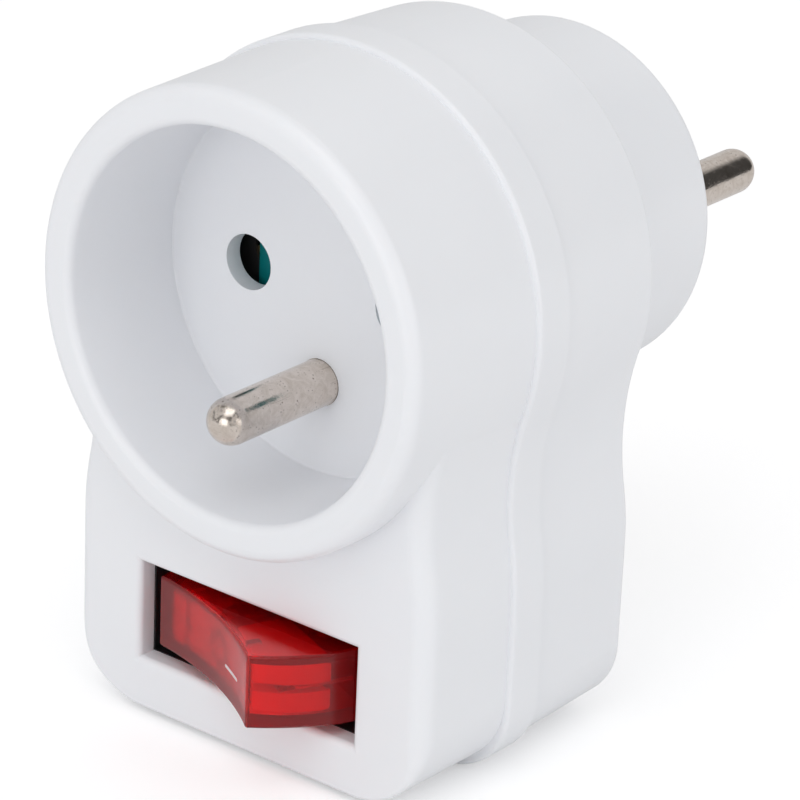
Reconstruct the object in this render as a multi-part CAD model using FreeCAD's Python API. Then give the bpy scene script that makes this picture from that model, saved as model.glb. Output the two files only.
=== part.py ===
import FreeCAD
import Part

import math
import os

# A plug-in socket adapter with an illuminated rocker switch, in millimetres.
# Origin: centre of the plug's face, between the pins. +Y runs along the pins towards the wall,
# +Z is up and the socket cup faces -Y. The round body's axis is the Y axis.

V = FreeCAD.Vector

# Lengths along the body's axis
ring_proud = 4.8            # socket ring in front of the block's front face
front_depth = 17.6          # ring face to the band's front edge
band_width = 4.6            # raised band round the joint line
rear_depth = 15.1           # joint line to the rear casing's shoulder
plug_length = 17.1          # shoulder to the plug's face

# Outline of the casings, measured on the band
circle_radius = 24.55
side_inset = 1.25           # block's sides inside the circle
waist_inset = 1.15          # waist inside the block's sides
blend_radius = 30.5         # both arcs of the S between circle and side
block_drop = 47.45          # axis to the bottom
corner_radius = 8.4
front_corner_softer = 1.0   # added to the corner radius of the front casing
band_proud = 0.55
front_draft_circle = 0.5
ring_cover = 0.06           # ring outside the block's own round top
front_draft_block = 0.15
rear_draft_circle = 0.45
rear_draft_block = 0.3
band_edge = 0.5
block_front_edge = 2.0      # on the block's sides
block_bottom_edge = 0.4     # along the bottom of the block's front
ring_outer_edge = 1.4
rear_edge = 0.6

# Walls
wall = 2.0
front_wall = 2.2
cup_floor_wall = 2.0
floor_lip = 0.1             # of the cup's floor, round the earth pin
plug_face_wall = 2.5
tongue_height = 2.0
tongue_wall = 0.9
tongue_gap = 0.15

# Socket cup
ring_wall = 4.92            # circle to the cup's mouth
cup_draft = 0.13
cup_depth = 15.0
cup_mouth_edge = 0.9
cup_floor_edge = 0.2
contact_pitch = 19.0
contact_hole_radius = 2.88

# Plug
plug_radius = 18.72
plug_draft = 0.2
plug_edge = 1.3
plug_wall = 2.1

# Ribs that hold the carrier and the switch frame from behind
rib_width = 1.2
rib_grip = 2.5
rib_inset = 1.0             # from the window's end

# Pins
pin_radius = 2.4
root_radius = 2.6           # where a pin passes through the casing
pin_length = 19.0
close_fit = 0.05            # clearance of pins, tails and shanks in their holes
pin_collar_radius = 3.3
pin_collar_thickness = 1.2
pin_tail_radius = 1.6
pin_seat_depth = 7.3
pin_boss_wall = 2.0
rivet_rim = 0.5
rivet_thickness = 0.5
earth_offset = 10.0
earth_pin_length = 15.5
earth_flange_radius = 3.8
earth_flange_thickness = 1.2
earth_tail_radius = 1.8
earth_hole_radius = 2.75

# Contact sleeves
sleeve_bore = 2.45
sleeve_wall = 0.6
sleeve_base = 0.8
sleeve_end_gap = 0.3        # earth sleeve's mouth behind the plug's face
sleeve_slot = 0.8
sleeve_length = 15.7
sleeve_slot_share = 0.7
earth_sleeve_length = 13.3

# Carrier plate and shutter
carrier_gap = 1.6           # carrier's edge to the casing's wall
carrier_rim = 1.5
carrier_plate = 1.6
channel_depth = 2.4
well_clearance = 0.35
well_wall = 1.2
well_length = 9.0
shutter_gap = 0.3
shutter_half_height = 3.7
shutter_left = 10.95
shutter_right = 12.4
shutter_travel = 5.9
shutter_margin = 0.12       # round a contact hole when the shutter is open
shutter_ramp = 4.0
shutter_bevel = 1.1
spring_window_left = 5.4
spring_window_half = 2.0
rail_gap = 0.25
rail_width = 1.0
stop_width = 1.2
stop_place = 3.4
stop_half_height = 1.6
spring_wire = 0.3
spring_radius = 0.75
spring_turns = 5
spring_end_gap = 0.15

# Case screws
screw_shank_radius = 1.25
screw_head_radius = 2.4
screw_head_height = 1.8
screw_length = 14.0
screw_slot = 0.6
screw_well_radius = 2.65
screw_tube_wall = 1.0
screw_seat_wall = 2.0
screw_fit = 0.25
boss_radius = 2.7
low_screw_inset = 5.6       # from the block's side
low_screw_rise = 8.85       # from the block's bottom
low_screw_well = 4.0
top_screw_rise = 10.0
top_screw_well = 16.0
boss_gap = 0.2

# Rocker switch
switch_rise = 11.55         # rocker's axis above the block's bottom
window_side = 9.35          # window's end to the block's side
window_height = 10.6
window_edge = 0.7
pivot_depth = 5.2           # rocker axis behind the block's front face
rocker_tilt = 22.8
rocker_height = 7.8
rocker_end_gap = 1.35       # rocker's end to the window's end
rocker_ridge_inset = 2.8    # ridge inside the rocker's end
rocker_ridge_rise = 8.46
rocker_hollow = 1.26        # how far the front face dips between its two ridges
rocker_skirt = 3.0
rocker_wall = 1.2
rocker_edge = 0.35
rocker_rib = 0.8
rocker_rib_place = 6.2
trunnion_radius = 1.2
trunnion_fit = 0.05
frame_wall = 1.0
frame_side = 1.3
frame_depth = 13.3
frame_base = 1.4
frame_gap = 0.2
bearing_radius = 2.1
bearing_gap = 0.2
plunger_tube_wall = 0.6
plunger_radius = 1.3
plunger_fit = 0.06
plunger_reach = 6.7
plunger_length = 7.0
tube_skirt = 2.5
plunger_spring_wire = 0.25
plunger_spring_radius = 0.9
plunger_spring_turns = 4

# Rocking contact
lever_axis_depth = 7.3      # rocker axis to the lever's axis
lever_fold = 19.0
lever_rock = 8.0
lever_tip = 1.2             # arm beyond its button
lever_half_width = 1.9
lever_thickness = 0.5
lever_pin_radius = 0.45
lever_pin_fit = 0.05
button_radius = 1.2
button_thickness = 0.6
contact_inset = 5.6         # rocker's end to the two buttons
contact_gap = 0.4           # between the two buttons when the switch is on
ear_gap = 0.25
ear_thickness = 0.8
ear_half_width = 1.3
strip_thickness = 0.8
strip_width = 4.0
blade_half_width = 1.25
strap_bend = 1.2
strap_air = 1.0             # between the two straps, and from strap to earth tail
out_strap_space = 3.4       # strap to the casing's rear wall
line_strap_space = 6.5
foot_half_length = 1.8
foot_half_width = 2.0
blade_fit = 0.1

# Neon lamp
lamp_radius = 1.6
lamp_start = 3.0            # rocker's middle to the lamp
lamp_end_room = 3.0         # lamp to the rocker's end
lamp_depth = 3.2
resistor_radius = 0.85
resistor_start = 4.0        # rocker's middle to the resistor
resistor_end_room = 4.0     # resistor to the rocker's end
lead_radius = 0.2
lead_bend = 0.42
lead_reach = 0.9            # straight wire out of lamp and resistor
lead_foot = 0.5             # end of a lead above the rocker's skirt

# Places that follow from the sizes above
body_length = front_depth + band_width + rear_depth + plug_length
ring_y = -body_length
block_y = ring_y + ring_proud
floor_y = ring_y + cup_depth
floor_back_y = floor_y + cup_floor_wall
band_y = ring_y + front_depth
joint_y = band_y + band_width
half_width = circle_radius - side_inset
waist_half_width = half_width - waist_inset
cup_radius = circle_radius - ring_wall
cup_floor_radius = cup_radius - cup_draft
carrier_radius = circle_radius - band_proud - wall - carrier_gap
plug_face_radius = plug_radius - plug_draft
shoulder_y = -plug_length
shoulder_inner_y = shoulder_y - wall
face_inner_y = -plug_face_wall
half_pitch = contact_pitch / 2
low_screw_x = half_width - low_screw_inset
low_screw_drop = block_drop - low_screw_rise
switch_drop = block_drop - switch_rise
window_width = 2 * (half_width - window_side)
rocker_end_half = window_width / 2 - rocker_end_gap
rocker_ridge_half = rocker_end_half - rocker_ridge_inset
contact_reach = rocker_end_half - contact_inset
lamp_end = rocker_end_half - lamp_end_room
resistor_end = rocker_end_half - resistor_end_room
rocker_y = block_y + pivot_depth
frame_y = block_y + front_wall
frame_back_y = frame_y + frame_depth
frame_floor_y = frame_back_y - frame_base
lever_y = rocker_y + lever_axis_depth
sleeve_outer = sleeve_bore + sleeve_wall
carrier_front_y = floor_back_y + channel_depth
carrier_back_y = carrier_front_y + carrier_plate


def cylinder(radius, y0, y1, x=0.0, z=0.0):
    """Round bar along Y."""
    return Part.makeCylinder(radius, y1 - y0, V(x, y0, z), V(0, 1, 0))


def cone(radius0, radius1, y0, y1):
    """Tapered round bar on the Y axis."""
    if abs(radius0 - radius1) < 1e-6:
        return cylinder(radius0, y0, y1)
    return Part.makeCone(radius0, radius1, y1 - y0, V(0, y0, 0), V(0, 1, 0))


def pin_z(radius, z0, z1, x=0.0, y=0.0):
    """Round bar along Z."""
    return Part.makeCylinder(radius, z1 - z0, V(x, y, z0), V(0, 0, 1))


def block(x0, x1, y0, y1, z0, z1):
    """Box between two corners."""
    return Part.makeBox(x1 - x0, y1 - y0, z1 - z0, V(x0, y0, z0))


def tube(outer, inner, y0, y1, x=0.0, z=0.0):
    """Round tube along Y."""
    return cylinder(outer, y0, y1, x, z).cut(cylinder(inner, y0 - 1, y1 + 1, x, z))


def domed_bar(radius, y0, y1, x=0.0, z=0.0, dome_at_end=True):
    """Round bar along Y with one hemispherical end."""
    if dome_at_end:
        bar = cylinder(radius, y0, y1 - radius, x, z)
        ball = Part.makeSphere(radius, V(x, y1 - radius, z))
    else:
        bar = cylinder(radius, y0 + radius, y1, x, z)
        ball = Part.makeSphere(radius, V(x, y0 + radius, z))
    return bar.fuse(ball).removeSplitter()


def arc(centre, radius, start, end, y):
    """Arc in the XZ plane at height y, from one angle to another by the short way."""
    middle = (start + end) / 2
    points = [V(centre[0] + radius * math.cos(a), y, centre[1] + radius * math.sin(a))
              for a in (start, middle, end)]
    return Part.Arc(*points).toShape()


def outline(circle_offset, block_offset, y, softer=0.0):
    """Closed outline of the casing: a circle that runs through a waist into a rounded block."""
    radius = circle_radius + circle_offset
    side = half_width + block_offset
    inward = blend_radius - block_offset
    outward = blend_radius + block_offset
    drop = block_drop + block_offset
    corner = corner_radius + block_offset + softer
    waist_x = waist_half_width + blend_radius
    waist_z = -math.sqrt((radius + inward) ** 2 - waist_x ** 2)
    swell_x = half_width - blend_radius
    swell_z = waist_z - math.sqrt((2 * blend_radius) ** 2 - (waist_x - swell_x) ** 2)
    leave = math.atan2(waist_z, waist_x)
    turn = math.atan2(swell_z - waist_z, swell_x - waist_x)
    corner_x = side - corner
    corner_z = corner - drop
    right = [
        arc((0, 0), radius, math.pi / 2, leave, y),
        arc((waist_x, waist_z), inward, leave + math.pi, turn + 2 * math.pi, y),
        arc((swell_x, swell_z), outward, turn + math.pi, 0, y),
        Part.LineSegment(V(side, y, swell_z), V(side, y, corner_z)).toShape(),
        arc((corner_x, corner_z), corner, 0, -math.pi / 4, y),
        arc((corner_x, corner_z), corner, -math.pi / 4, -math.pi / 2, y),
    ]
    bottom = Part.LineSegment(V(corner_x, y, -drop), V(-corner_x, y, -drop)).toShape()
    left = [edge.mirror(V(0, 0, 0), V(1, 0, 0)) for edge in right]
    return Part.Wire(Part.__sortEdges__(right + [bottom] + left))


def outline_solid(circle0, block0, y0, circle1, block1, y1, softer=0.0):
    """Solid between two outlines of the casing."""
    wires = [outline(circle0, block0, y0, softer), outline(circle1, block1, y1, softer)]
    return Part.makeLoft(wires, True, True)


def edges_at_y(shape, y, keep=lambda edge: True):
    """Edges of a shape that lie in the plane at y."""
    found = []
    for edge in shape.Edges:
        box = edge.BoundBox
        if abs(box.YMin - y) < 1e-4 and abs(box.YMax - y) < 1e-4 and keep(edge):
            found.append(edge)
    return found


def join(first, *others):
    """One solid from touching solids, with shared faces cleaned."""
    return first.multiFuse(list(others)).removeSplitter()


def corner_arc(start, corner, end):
    """Arc that touches both legs of a corner at their far ends."""
    back = (start - corner).normalize()
    ahead = (end - corner).normalize()
    half = back.getAngle(ahead) / 2
    bend = start.distanceToPoint(corner) * math.tan(half)
    middle = corner + (back + ahead).normalize() * (bend / math.sin(half) - bend)
    return Part.Arc(start, middle, end).toShape()


def biarc(start, start_way, end, end_way):
    """Two arcs that leave the start along one direction and reach the end along another."""
    gap = end - start
    square = 2 * (start_way.dot(end_way) - 1)
    linear = -2 * gap.dot(start_way + end_way)
    reach = (-linear - math.sqrt(linear ** 2 - 4 * square * gap.dot(gap))) / (2 * square)
    first = start + start_way * reach
    second = end - end_way * reach
    meet = (first + second) * 0.5
    return [corner_arc(start, first, meet), corner_arc(meet, second, end)]


def helix_spring(radius, wire, turns, length, start, axis):
    """Compression spring: one wire wound along an axis, each half turn made of two arcs."""
    pitch = (length - wire) / turns
    slope = math.atan2(pitch, 2 * math.pi * radius)

    def point(half_turns):
        side = radius if half_turns % 2 == 0 else -radius
        return V(side, 0, wire / 2 + pitch * half_turns / 2)

    def way(half_turns):
        side = math.cos(slope) if half_turns % 2 == 0 else -math.cos(slope)
        return V(0, side, math.sin(slope))

    edges = []
    for i in range(2 * turns):
        edges += biarc(point(i), way(i), point(i + 1), way(i + 1))
    profile = Part.Wire(Part.makeCircle(wire / 2, point(0), way(0)))
    coil = Part.Wire(edges).makePipeShell([profile], True, False)
    coil.Placement = FreeCAD.Placement(start, FreeCAD.Rotation(V(0, 0, 1), axis))
    return coil


def round_front_edge(body):
    """Rounds the block's front edge: widely on the sides, finely along the bottom."""
    corner_z = corner_radius - band_proud - front_draft_block + front_corner_softer
    turn_z = -(block_drop - band_proud - front_draft_block) + corner_z * (1 - math.sqrt(0.5))
    edges = []
    for number, edge in enumerate(body.Edges, 1):
        box = edge.BoundBox
        if abs(box.YMin - block_y) > 1e-4 or abs(box.YMax - block_y) > 1e-4:
            continue
        start = block_front_edge
        end = block_front_edge
        if box.ZMax < turn_z + 0.01:
            start = block_bottom_edge
            end = block_bottom_edge
        elif box.ZMin < turn_z + 0.01:
            first_z = edge.valueAt(edge.FirstParameter).z
            last_z = edge.valueAt(edge.LastParameter).z
            if first_z > last_z:
                end = block_bottom_edge
            else:
                start = block_bottom_edge
        edges.append((number, start, end))
    page = FreeCAD.newDocument("front")
    base = page.addObject("Part::Feature", "Base")
    base.Shape = body
    rounded = page.addObject("Part::Fillet", "Rounded")
    rounded.Base = base
    rounded.Edges = edges
    page.recompute()
    return rounded.Shape.copy()


# Front casing: cup ring, block front with the rocker window, raised band, screw bosses
def front_shell():
    foot = -band_proud
    face_block = foot - front_draft_block
    ring_face = circle_radius + foot - front_draft_circle
    ring = cone(ring_face, circle_radius + foot, ring_y, band_y)
    ring = ring.makeFillet(ring_outer_edge, edges_at_y(ring, ring_y))
    face_circle = foot - front_draft_circle * (1 - ring_proud / front_depth) - ring_cover
    body = outline_solid(face_circle, face_block, block_y, foot - ring_cover, foot, band_y,
                         front_corner_softer)
    body = round_front_edge(body)
    band = outline_solid(0, 0, band_y, 0, 0, joint_y)
    band = band.makeFillet(band_edge, edges_at_y(band, band_y))
    shell = body.fuse(ring).fuse(band).removeSplitter()

    inset = band_proud + wall
    cavity = outline_solid(-inset, -inset, frame_y, -inset, -inset, joint_y + 1)
    cup = cylinder(circle_radius - inset + 0.2, ring_y, floor_back_y)
    shell = shell.cut(cavity.cut(cup))

    hollow = cone(cup_radius, cup_floor_radius, ring_y, floor_y)
    hollow = hollow.makeFillet(cup_floor_edge, edges_at_y(hollow, floor_y))
    shell = shell.cut(hollow)
    mouth = edges_at_y(shell, ring_y, lambda edge: edge.BoundBox.XMax < cup_radius + 0.3)
    shell = shell.makeFillet(cup_mouth_edge, mouth)

    window = block(-window_width / 2, window_width / 2, block_y - 1, frame_y + 1,
                   -switch_drop - window_height / 2, -switch_drop + window_height / 2)
    shell = shell.cut(window)
    reach = window_width / 2 + 0.5

    def on_window(edge):
        box = edge.BoundBox
        return box.XMax < reach and box.XMin > -reach and abs(box.Center.z + switch_drop) < window_height
    shell = shell.makeFillet(window_edge, edges_at_y(shell, block_y, on_window))

    for side in (-1, 1):
        boss = cylinder(boss_radius, frame_y - 0.2, low_boss_end_y(), side * low_screw_x, -low_screw_drop)
        shell = shell.fuse(boss)
        shell = shell.cut(screw_hole(low_boss_end_y(), side * low_screw_x, -low_screw_drop))
        shell = shell.cut(cylinder(contact_hole_radius, floor_y - 1, floor_back_y + 1,
                                   side * half_pitch, 0))
    boss = cylinder(boss_radius, floor_back_y - 0.2, top_boss_end_y(), 0, top_screw_rise)
    shell = shell.fuse(boss)
    shell = shell.cut(screw_hole(top_boss_end_y(), 0, top_screw_rise))
    shell = shell.cut(cylinder(pin_radius + close_fit, floor_y - 1, floor_back_y, 0, -earth_offset))
    shell = shell.cut(cylinder(root_radius + close_fit, floor_y + floor_lip, floor_back_y + 1,
                               0, -earth_offset))
    return shell.removeSplitter()


def low_boss_end_y():
    """Where the two lower bosses end, against the seats of their screws."""
    return shoulder_y - low_screw_well - screw_seat_wall - boss_gap


def top_boss_end_y():
    """Where the upper boss ends, against the seat of its screw."""
    return -top_screw_well - screw_seat_wall - boss_gap


def screw_hole(end_y, x, z):
    """Pilot hole for a screw, from the boss's end."""
    depth = screw_length - screw_seat_wall
    return cylinder(screw_shank_radius + close_fit, end_y - depth, end_y + 1, x, z)


# Rear casing: block back, plug body, pin seats, screw wells, ribs and the tongue of the joint
def rear_shell():
    start = -band_proud
    body = outline_solid(start, start, joint_y, start - rear_draft_circle, start - rear_draft_block,
                         shoulder_y)
    body = body.makeFillet(rear_edge, edges_at_y(body, shoulder_y))
    plug = cone(plug_radius, plug_face_radius, shoulder_y - 1, 0)
    plug = plug.makeFillet(plug_edge, edges_at_y(plug, 0))
    shell = body.fuse(plug)

    inset = band_proud + wall
    cavity = outline_solid(-inset, -inset, joint_y - 1, -inset, -inset, shoulder_inner_y)
    bore = cylinder(plug_face_radius - plug_wall, shoulder_inner_y - 1, face_inner_y)
    shell = shell.cut(cavity).cut(bore)

    rim = inset + tongue_gap
    base = inset - 0.3
    foot = outline_solid(-base, -base, joint_y, -base, -base, joint_y + 1.5)
    tongue = outline_solid(-rim, -rim, joint_y - tongue_height, -rim, -rim, joint_y + 1.5)
    hole = rim + tongue_wall
    inner = outline_solid(-hole, -hole, joint_y - tongue_height - 1, -hole, -hole, joint_y + tongue_height)
    tongue = tongue.fuse(foot).cut(inner)
    for side in (-1, 1):
        tongue = tongue.cut(cylinder(boss_radius + 0.3, joint_y - 2 * tongue_height,
                                     joint_y + 2 * tongue_height, side * low_screw_x, -low_screw_drop))
    shell = shell.fuse(tongue)

    for x, z in ((-half_pitch, 0), (half_pitch, 0)):
        shell = shell.fuse(cylinder(root_radius + pin_boss_wall, -pin_seat_depth, face_inner_y + 0.2, x, z))
    guard = sleeve_outer + well_clearance
    shell = shell.fuse(cylinder(guard + well_wall, -pin_seat_depth, face_inner_y + 0.2, 0, -earth_offset))

    tube_radius = screw_well_radius + screw_tube_wall
    shell = shell.fuse(cylinder(tube_radius, -top_screw_well - screw_seat_wall, -0.5, 0, top_screw_rise))
    low_seat_y = shoulder_y - low_screw_well
    for side in (-1, 1):
        shell = shell.fuse(cylinder(tube_radius, low_seat_y - screw_seat_wall, shoulder_y - 0.5,
                                    side * low_screw_x, -low_screw_drop))

    for angle in (0, -45, -135, 180):
        rib = block(carrier_radius - rib_grip, circle_radius - hole + 0.5, carrier_back_y, joint_y + 1,
                    -rib_width / 2, rib_width / 2)
        rib = rib.fuse(block(carrier_radius - rib_grip, circle_radius - inset + 0.5, joint_y + 0.5,
                             shoulder_inner_y + 0.5, -rib_width / 2, rib_width / 2))
        rib.rotate(V(0, 0, 0), V(0, 1, 0), angle)
        shell = shell.fuse(rib)
    for side in (-1, 1):
        x = side * (window_width / 2 - rib_inset)
        shell = shell.fuse(block(x - rib_width / 2, x + rib_width / 2, frame_back_y, shoulder_inner_y + 0.5,
                                 -switch_drop - window_height / 2,
                                 -switch_drop - strip_width / 2 - strap_air / 2))

    for side in (-1, 1):
        shell = shell.cut(cylinder(root_radius + close_fit, -pin_seat_depth - 1, 1, side * half_pitch, 0))
        shell = shell.cut(cylinder(screw_well_radius, low_seat_y, shoulder_y + 1,
                                   side * low_screw_x, -low_screw_drop))
        shell = shell.cut(cylinder(screw_shank_radius + screw_fit, low_seat_y - screw_seat_wall - 1,
                                   low_seat_y + 1, side * low_screw_x, -low_screw_drop))
    shell = shell.cut(cylinder(guard, -pin_seat_depth - 1, face_inner_y, 0, -earth_offset))
    shell = shell.cut(cylinder(earth_hole_radius, face_inner_y - 1, 1, 0, -earth_offset))
    shell = shell.cut(cylinder(screw_well_radius, -top_screw_well, 1, 0, top_screw_rise))
    shell = shell.cut(cylinder(screw_shank_radius + screw_fit, -top_screw_well - screw_seat_wall - 1,
                               -top_screw_well + 1, 0, top_screw_rise))
    return shell.removeSplitter()


# Case screws: head with a driver slot, shank to the pilot hole
def case_screws():
    places = [(0, -top_screw_well, top_screw_rise)]
    for side in (-1, 1):
        places.append((side * low_screw_x, shoulder_y - low_screw_well, -low_screw_drop))
    screws = []
    for x, seat_y, z in places:
        head = cylinder(screw_head_radius, seat_y, seat_y + screw_head_height, x, z)
        head = head.makeFillet(0.5, edges_at_y(head, seat_y + screw_head_height))
        slot = block(x - screw_head_radius, x + screw_head_radius, seat_y + screw_head_height - 0.8,
                     seat_y + screw_head_height + 1, z - screw_slot / 2, z + screw_slot / 2)
        shank = cylinder(screw_shank_radius, seat_y - screw_length, seat_y, x, z)
        screws.append(join(head.cut(slot), shank))
    return Part.makeCompound(screws)


# Earth pin in the cup, with the tail that carries it to the sleeve behind the plug's face
def earth_pin():
    tip_y = floor_y - earth_pin_length
    flange_y = floor_back_y + earth_flange_thickness
    root_y = floor_y + floor_lip
    pin = domed_bar(pin_radius, tip_y, root_y, 0, -earth_offset, dome_at_end=False)
    root = cylinder(root_radius, root_y, floor_back_y, 0, -earth_offset)
    flange = cylinder(earth_flange_radius, floor_back_y, flange_y, 0, -earth_offset)
    tail = cylinder(earth_tail_radius, flange_y, earth_sleeve_base_y() + sleeve_base, 0, -earth_offset)
    return join(pin, root, flange, tail)


def earth_sleeve_base_y():
    """Front face of the earth sleeve's base."""
    return face_inner_y - sleeve_end_gap - earth_sleeve_length


def split_sleeve(y_mouth, y_base, x, z, hole):
    """Sprung contact: a tube with a base, two slots and a flared mouth."""
    direction = 1 if y_base > y_mouth else -1
    low = min(y_mouth, y_base)
    high = max(y_mouth, y_base)
    body = cylinder(sleeve_outer, low, high, x, z)
    inner_end = y_base - direction * sleeve_base
    bore_ends = sorted((y_mouth - direction, inner_end))
    bore = cylinder(sleeve_bore, bore_ends[0], bore_ends[1], x, z)
    body = body.cut(bore)
    slot_end = y_mouth + direction * sleeve_slot_share * abs(y_base - y_mouth)
    slot = block(x - sleeve_outer - 1, x + sleeve_outer + 1, min(y_mouth - direction, slot_end),
                 max(y_mouth - direction, slot_end), z - sleeve_slot / 2, z + sleeve_slot / 2)
    body = body.cut(slot)
    return body.cut(cylinder(hole, low - 1, high + 1, x, z)).removeSplitter()


def earth_sleeve():
    mouth = face_inner_y - sleeve_end_gap
    return split_sleeve(mouth, earth_sleeve_base_y(), 0, -earth_offset, earth_tail_radius + close_fit)


def contact_mouth_y():
    """Front end of the two contact sleeves, just behind the carrier's face."""
    return carrier_front_y + 0.4


def contact_base_y():
    """Rear face of the two contact sleeves."""
    return contact_mouth_y() + sleeve_length


def contact_sleeve(side):
    return split_sleeve(contact_mouth_y(), contact_base_y(), side * half_pitch, 0,
                        pin_tail_radius + close_fit)


def plug_pin(side, tail_end_y):
    """Round plug pin: domed tip, wider root, collar against its seat and a tail."""
    x = side * half_pitch
    seat_y = -pin_seat_depth
    collar_y = seat_y - pin_collar_thickness
    pin = domed_bar(pin_radius, 0, pin_length, x, 0)
    root = cylinder(root_radius, seat_y, 0, x, 0)
    collar = cylinder(pin_collar_radius, collar_y, seat_y, x, 0)
    tail = cylinder(pin_tail_radius, tail_end_y, collar_y, x, 0)
    return join(pin, root, collar, tail)


def neutral_pin():
    return plug_pin(-1, contact_base_y() - sleeve_base)


def line_pin():
    """Line pin, with the rivet head that holds the strap's eye."""
    tail_end_y = strap_eye_y()
    rivet = cylinder(pin_tail_radius + rivet_rim, tail_end_y - rivet_thickness, tail_end_y, half_pitch, 0)
    return join(plug_pin(1, tail_end_y), rivet)


def strap_eye_y():
    """Front face of the eye that the line pin's tail is riveted to."""
    return -pin_seat_depth - pin_collar_thickness - strip_thickness


# Carrier plate behind the cup: shutter channel, wells for the sleeves, stop for the spring
def contact_carrier():
    plate = cylinder(carrier_radius, carrier_front_y, carrier_back_y)
    plate = plate.fuse(tube(carrier_radius, carrier_radius - carrier_rim,
                            floor_back_y, carrier_back_y - 0.5))
    well = sleeve_outer + well_clearance
    for side in (-1, 1):
        plate = plate.fuse(cylinder(well + well_wall, carrier_back_y - 0.2, carrier_back_y + well_length,
                                    side * half_pitch, 0))
        rail_z = side * (shutter_half_height + rail_gap + rail_width / 2)
        reach = math.sqrt((carrier_radius - carrier_rim / 2) ** 2 - rail_z ** 2)
        plate = plate.fuse(block(-reach, reach, floor_back_y + shutter_gap, carrier_front_y + 0.2,
                                 rail_z - rail_width / 2, rail_z + rail_width / 2))
    plate = plate.fuse(block(stop_place, stop_place + stop_width, floor_back_y + shutter_gap,
                             carrier_front_y + 0.2, -stop_half_height, stop_half_height))
    flange_back = floor_back_y + earth_flange_thickness
    plate = plate.fuse(cylinder(earth_flange_radius - 0.6, flange_back, carrier_front_y + 0.2,
                                0, -earth_offset))
    for side in (-1, 1):
        plate = plate.cut(cylinder(well, contact_mouth_y(), carrier_back_y + well_length + 1,
                                   side * half_pitch, 0))
        plate = plate.cut(cylinder(contact_hole_radius, carrier_front_y - 1, contact_mouth_y() + 1,
                                   side * half_pitch, 0))
    flange_room = cylinder(earth_flange_radius + 0.2, floor_back_y - 1, flange_back, 0, -earth_offset)
    plate = plate.cut(flange_room)
    plate = plate.cut(cylinder(earth_tail_radius + 0.1, floor_back_y, carrier_back_y + 1, 0, -earth_offset))
    plate = plate.cut(cylinder(boss_radius + 0.2, floor_back_y - 1, carrier_back_y + 1, 0, top_screw_rise))
    return plate.removeSplitter()


# Shutter: a slide with a ramp over each hole, a window for its spring and a passage for one pin
def shutter():
    y0 = floor_back_y + shutter_gap
    y1 = carrier_front_y - shutter_gap
    passage = contact_hole_radius + shutter_margin
    lip_x = half_pitch + passage - shutter_travel
    plate = block(-shutter_left, shutter_right, y0, y1, -shutter_half_height, shutter_half_height)
    for edge_x in (-shutter_left, lip_x):
        corners = [V(edge_x, y0, 0), V(edge_x + shutter_ramp, y0, 0), V(edge_x, y0 + shutter_bevel, 0)]
        ramp = Part.Face(Part.makePolygon(corners + corners[:1]))
        wedge = ramp.extrude(V(0, 0, 2 * shutter_half_height + 2))
        wedge.translate(V(0, 0, -shutter_half_height - 1))
        plate = plate.cut(wedge)
    window = block(-spring_window_left, lip_x, y0 - 1, y1 + 1, -spring_window_half, spring_window_half)
    opening = block(lip_x - 2 * passage, lip_x, y0 - 1, y1 + 1, -passage, passage)
    return plate.cut(window).cut(opening).removeSplitter()


def shutter_spring():
    start = -spring_window_left + spring_end_gap
    length = stop_place - spring_end_gap - start
    middle = (floor_back_y + carrier_front_y) / 2
    return helix_spring(spring_radius, spring_wire, spring_turns, length, V(start, middle, 0), V(1, 0, 0))


# Switch frame: an open box behind the window, with the rocker's bearings
def switch_frame():
    half_w = window_width / 2 - frame_gap
    half_h = window_height / 2 - frame_gap / 2
    outer = block(-half_w - frame_wall, half_w + frame_wall, frame_y, frame_back_y,
                  -switch_drop - half_h - frame_side, -switch_drop + half_h + frame_side)
    inner = block(-half_w, half_w, frame_y - 1, frame_floor_y, -switch_drop - half_h, -switch_drop + half_h)
    frame = outer.cut(inner)
    bearing_reach = rocker_height / 2 + bearing_gap
    for side in (-1, 1):
        z0 = -switch_drop + side * bearing_reach
        z1 = -switch_drop + side * (half_h + 0.2)
        frame = frame.fuse(pin_z(bearing_radius, min(z0, z1), max(z0, z1), 0, rocker_y))
    frame = frame.cut(pin_z(trunnion_radius + trunnion_fit, -switch_drop - half_h - frame_side - 1,
                            -switch_drop + half_h + frame_side + 1, 0, rocker_y))
    blade = strip_thickness / 2 + blade_fit
    for x in (0, -contact_reach):
        frame = frame.cut(block(x - blade_half_width - blade_fit, x + blade_half_width + blade_fit,
                                frame_floor_y - 1, frame_back_y + 1,
                                -switch_drop - blade, -switch_drop + blade))
    return frame.removeSplitter()


def rocker_profile(inset):
    """Plan of the rocker about its axis, u along the face and v towards the front."""
    ridge = rocker_ridge_half - inset * 1.05
    rise = rocker_ridge_rise - inset * 0.95
    middle = rocker_ridge_rise - rocker_hollow - inset
    end = rocker_end_half - inset
    bulge_u = (rocker_ridge_half + rocker_end_half) / 2 + 0.2 - inset
    bulge_v = rocker_ridge_rise * 0.6
    left_front = V(-ridge, rise, 0)
    right_front = V(ridge, rise, 0)
    right_mid = V(end, 1.0, 0)
    left_mid = V(-end, 1.0, 0)
    foot = -rocker_skirt - (2 * inset if inset else 0)
    right_foot = V(end, foot, 0)
    left_foot = V(-end, foot, 0)
    edges = [
        Part.Arc(left_front, V(0, middle, 0), right_front).toShape(),
        Part.Arc(right_front, V(bulge_u, bulge_v, 0), right_mid).toShape(),
        Part.LineSegment(right_mid, right_foot).toShape(),
        Part.LineSegment(right_foot, left_foot).toShape(),
        Part.LineSegment(left_foot, left_mid).toShape(),
        Part.Arc(left_mid, V(-bulge_u, bulge_v, 0), left_front).toShape(),
    ]
    return Part.Face(Part.Wire(edges))


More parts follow.
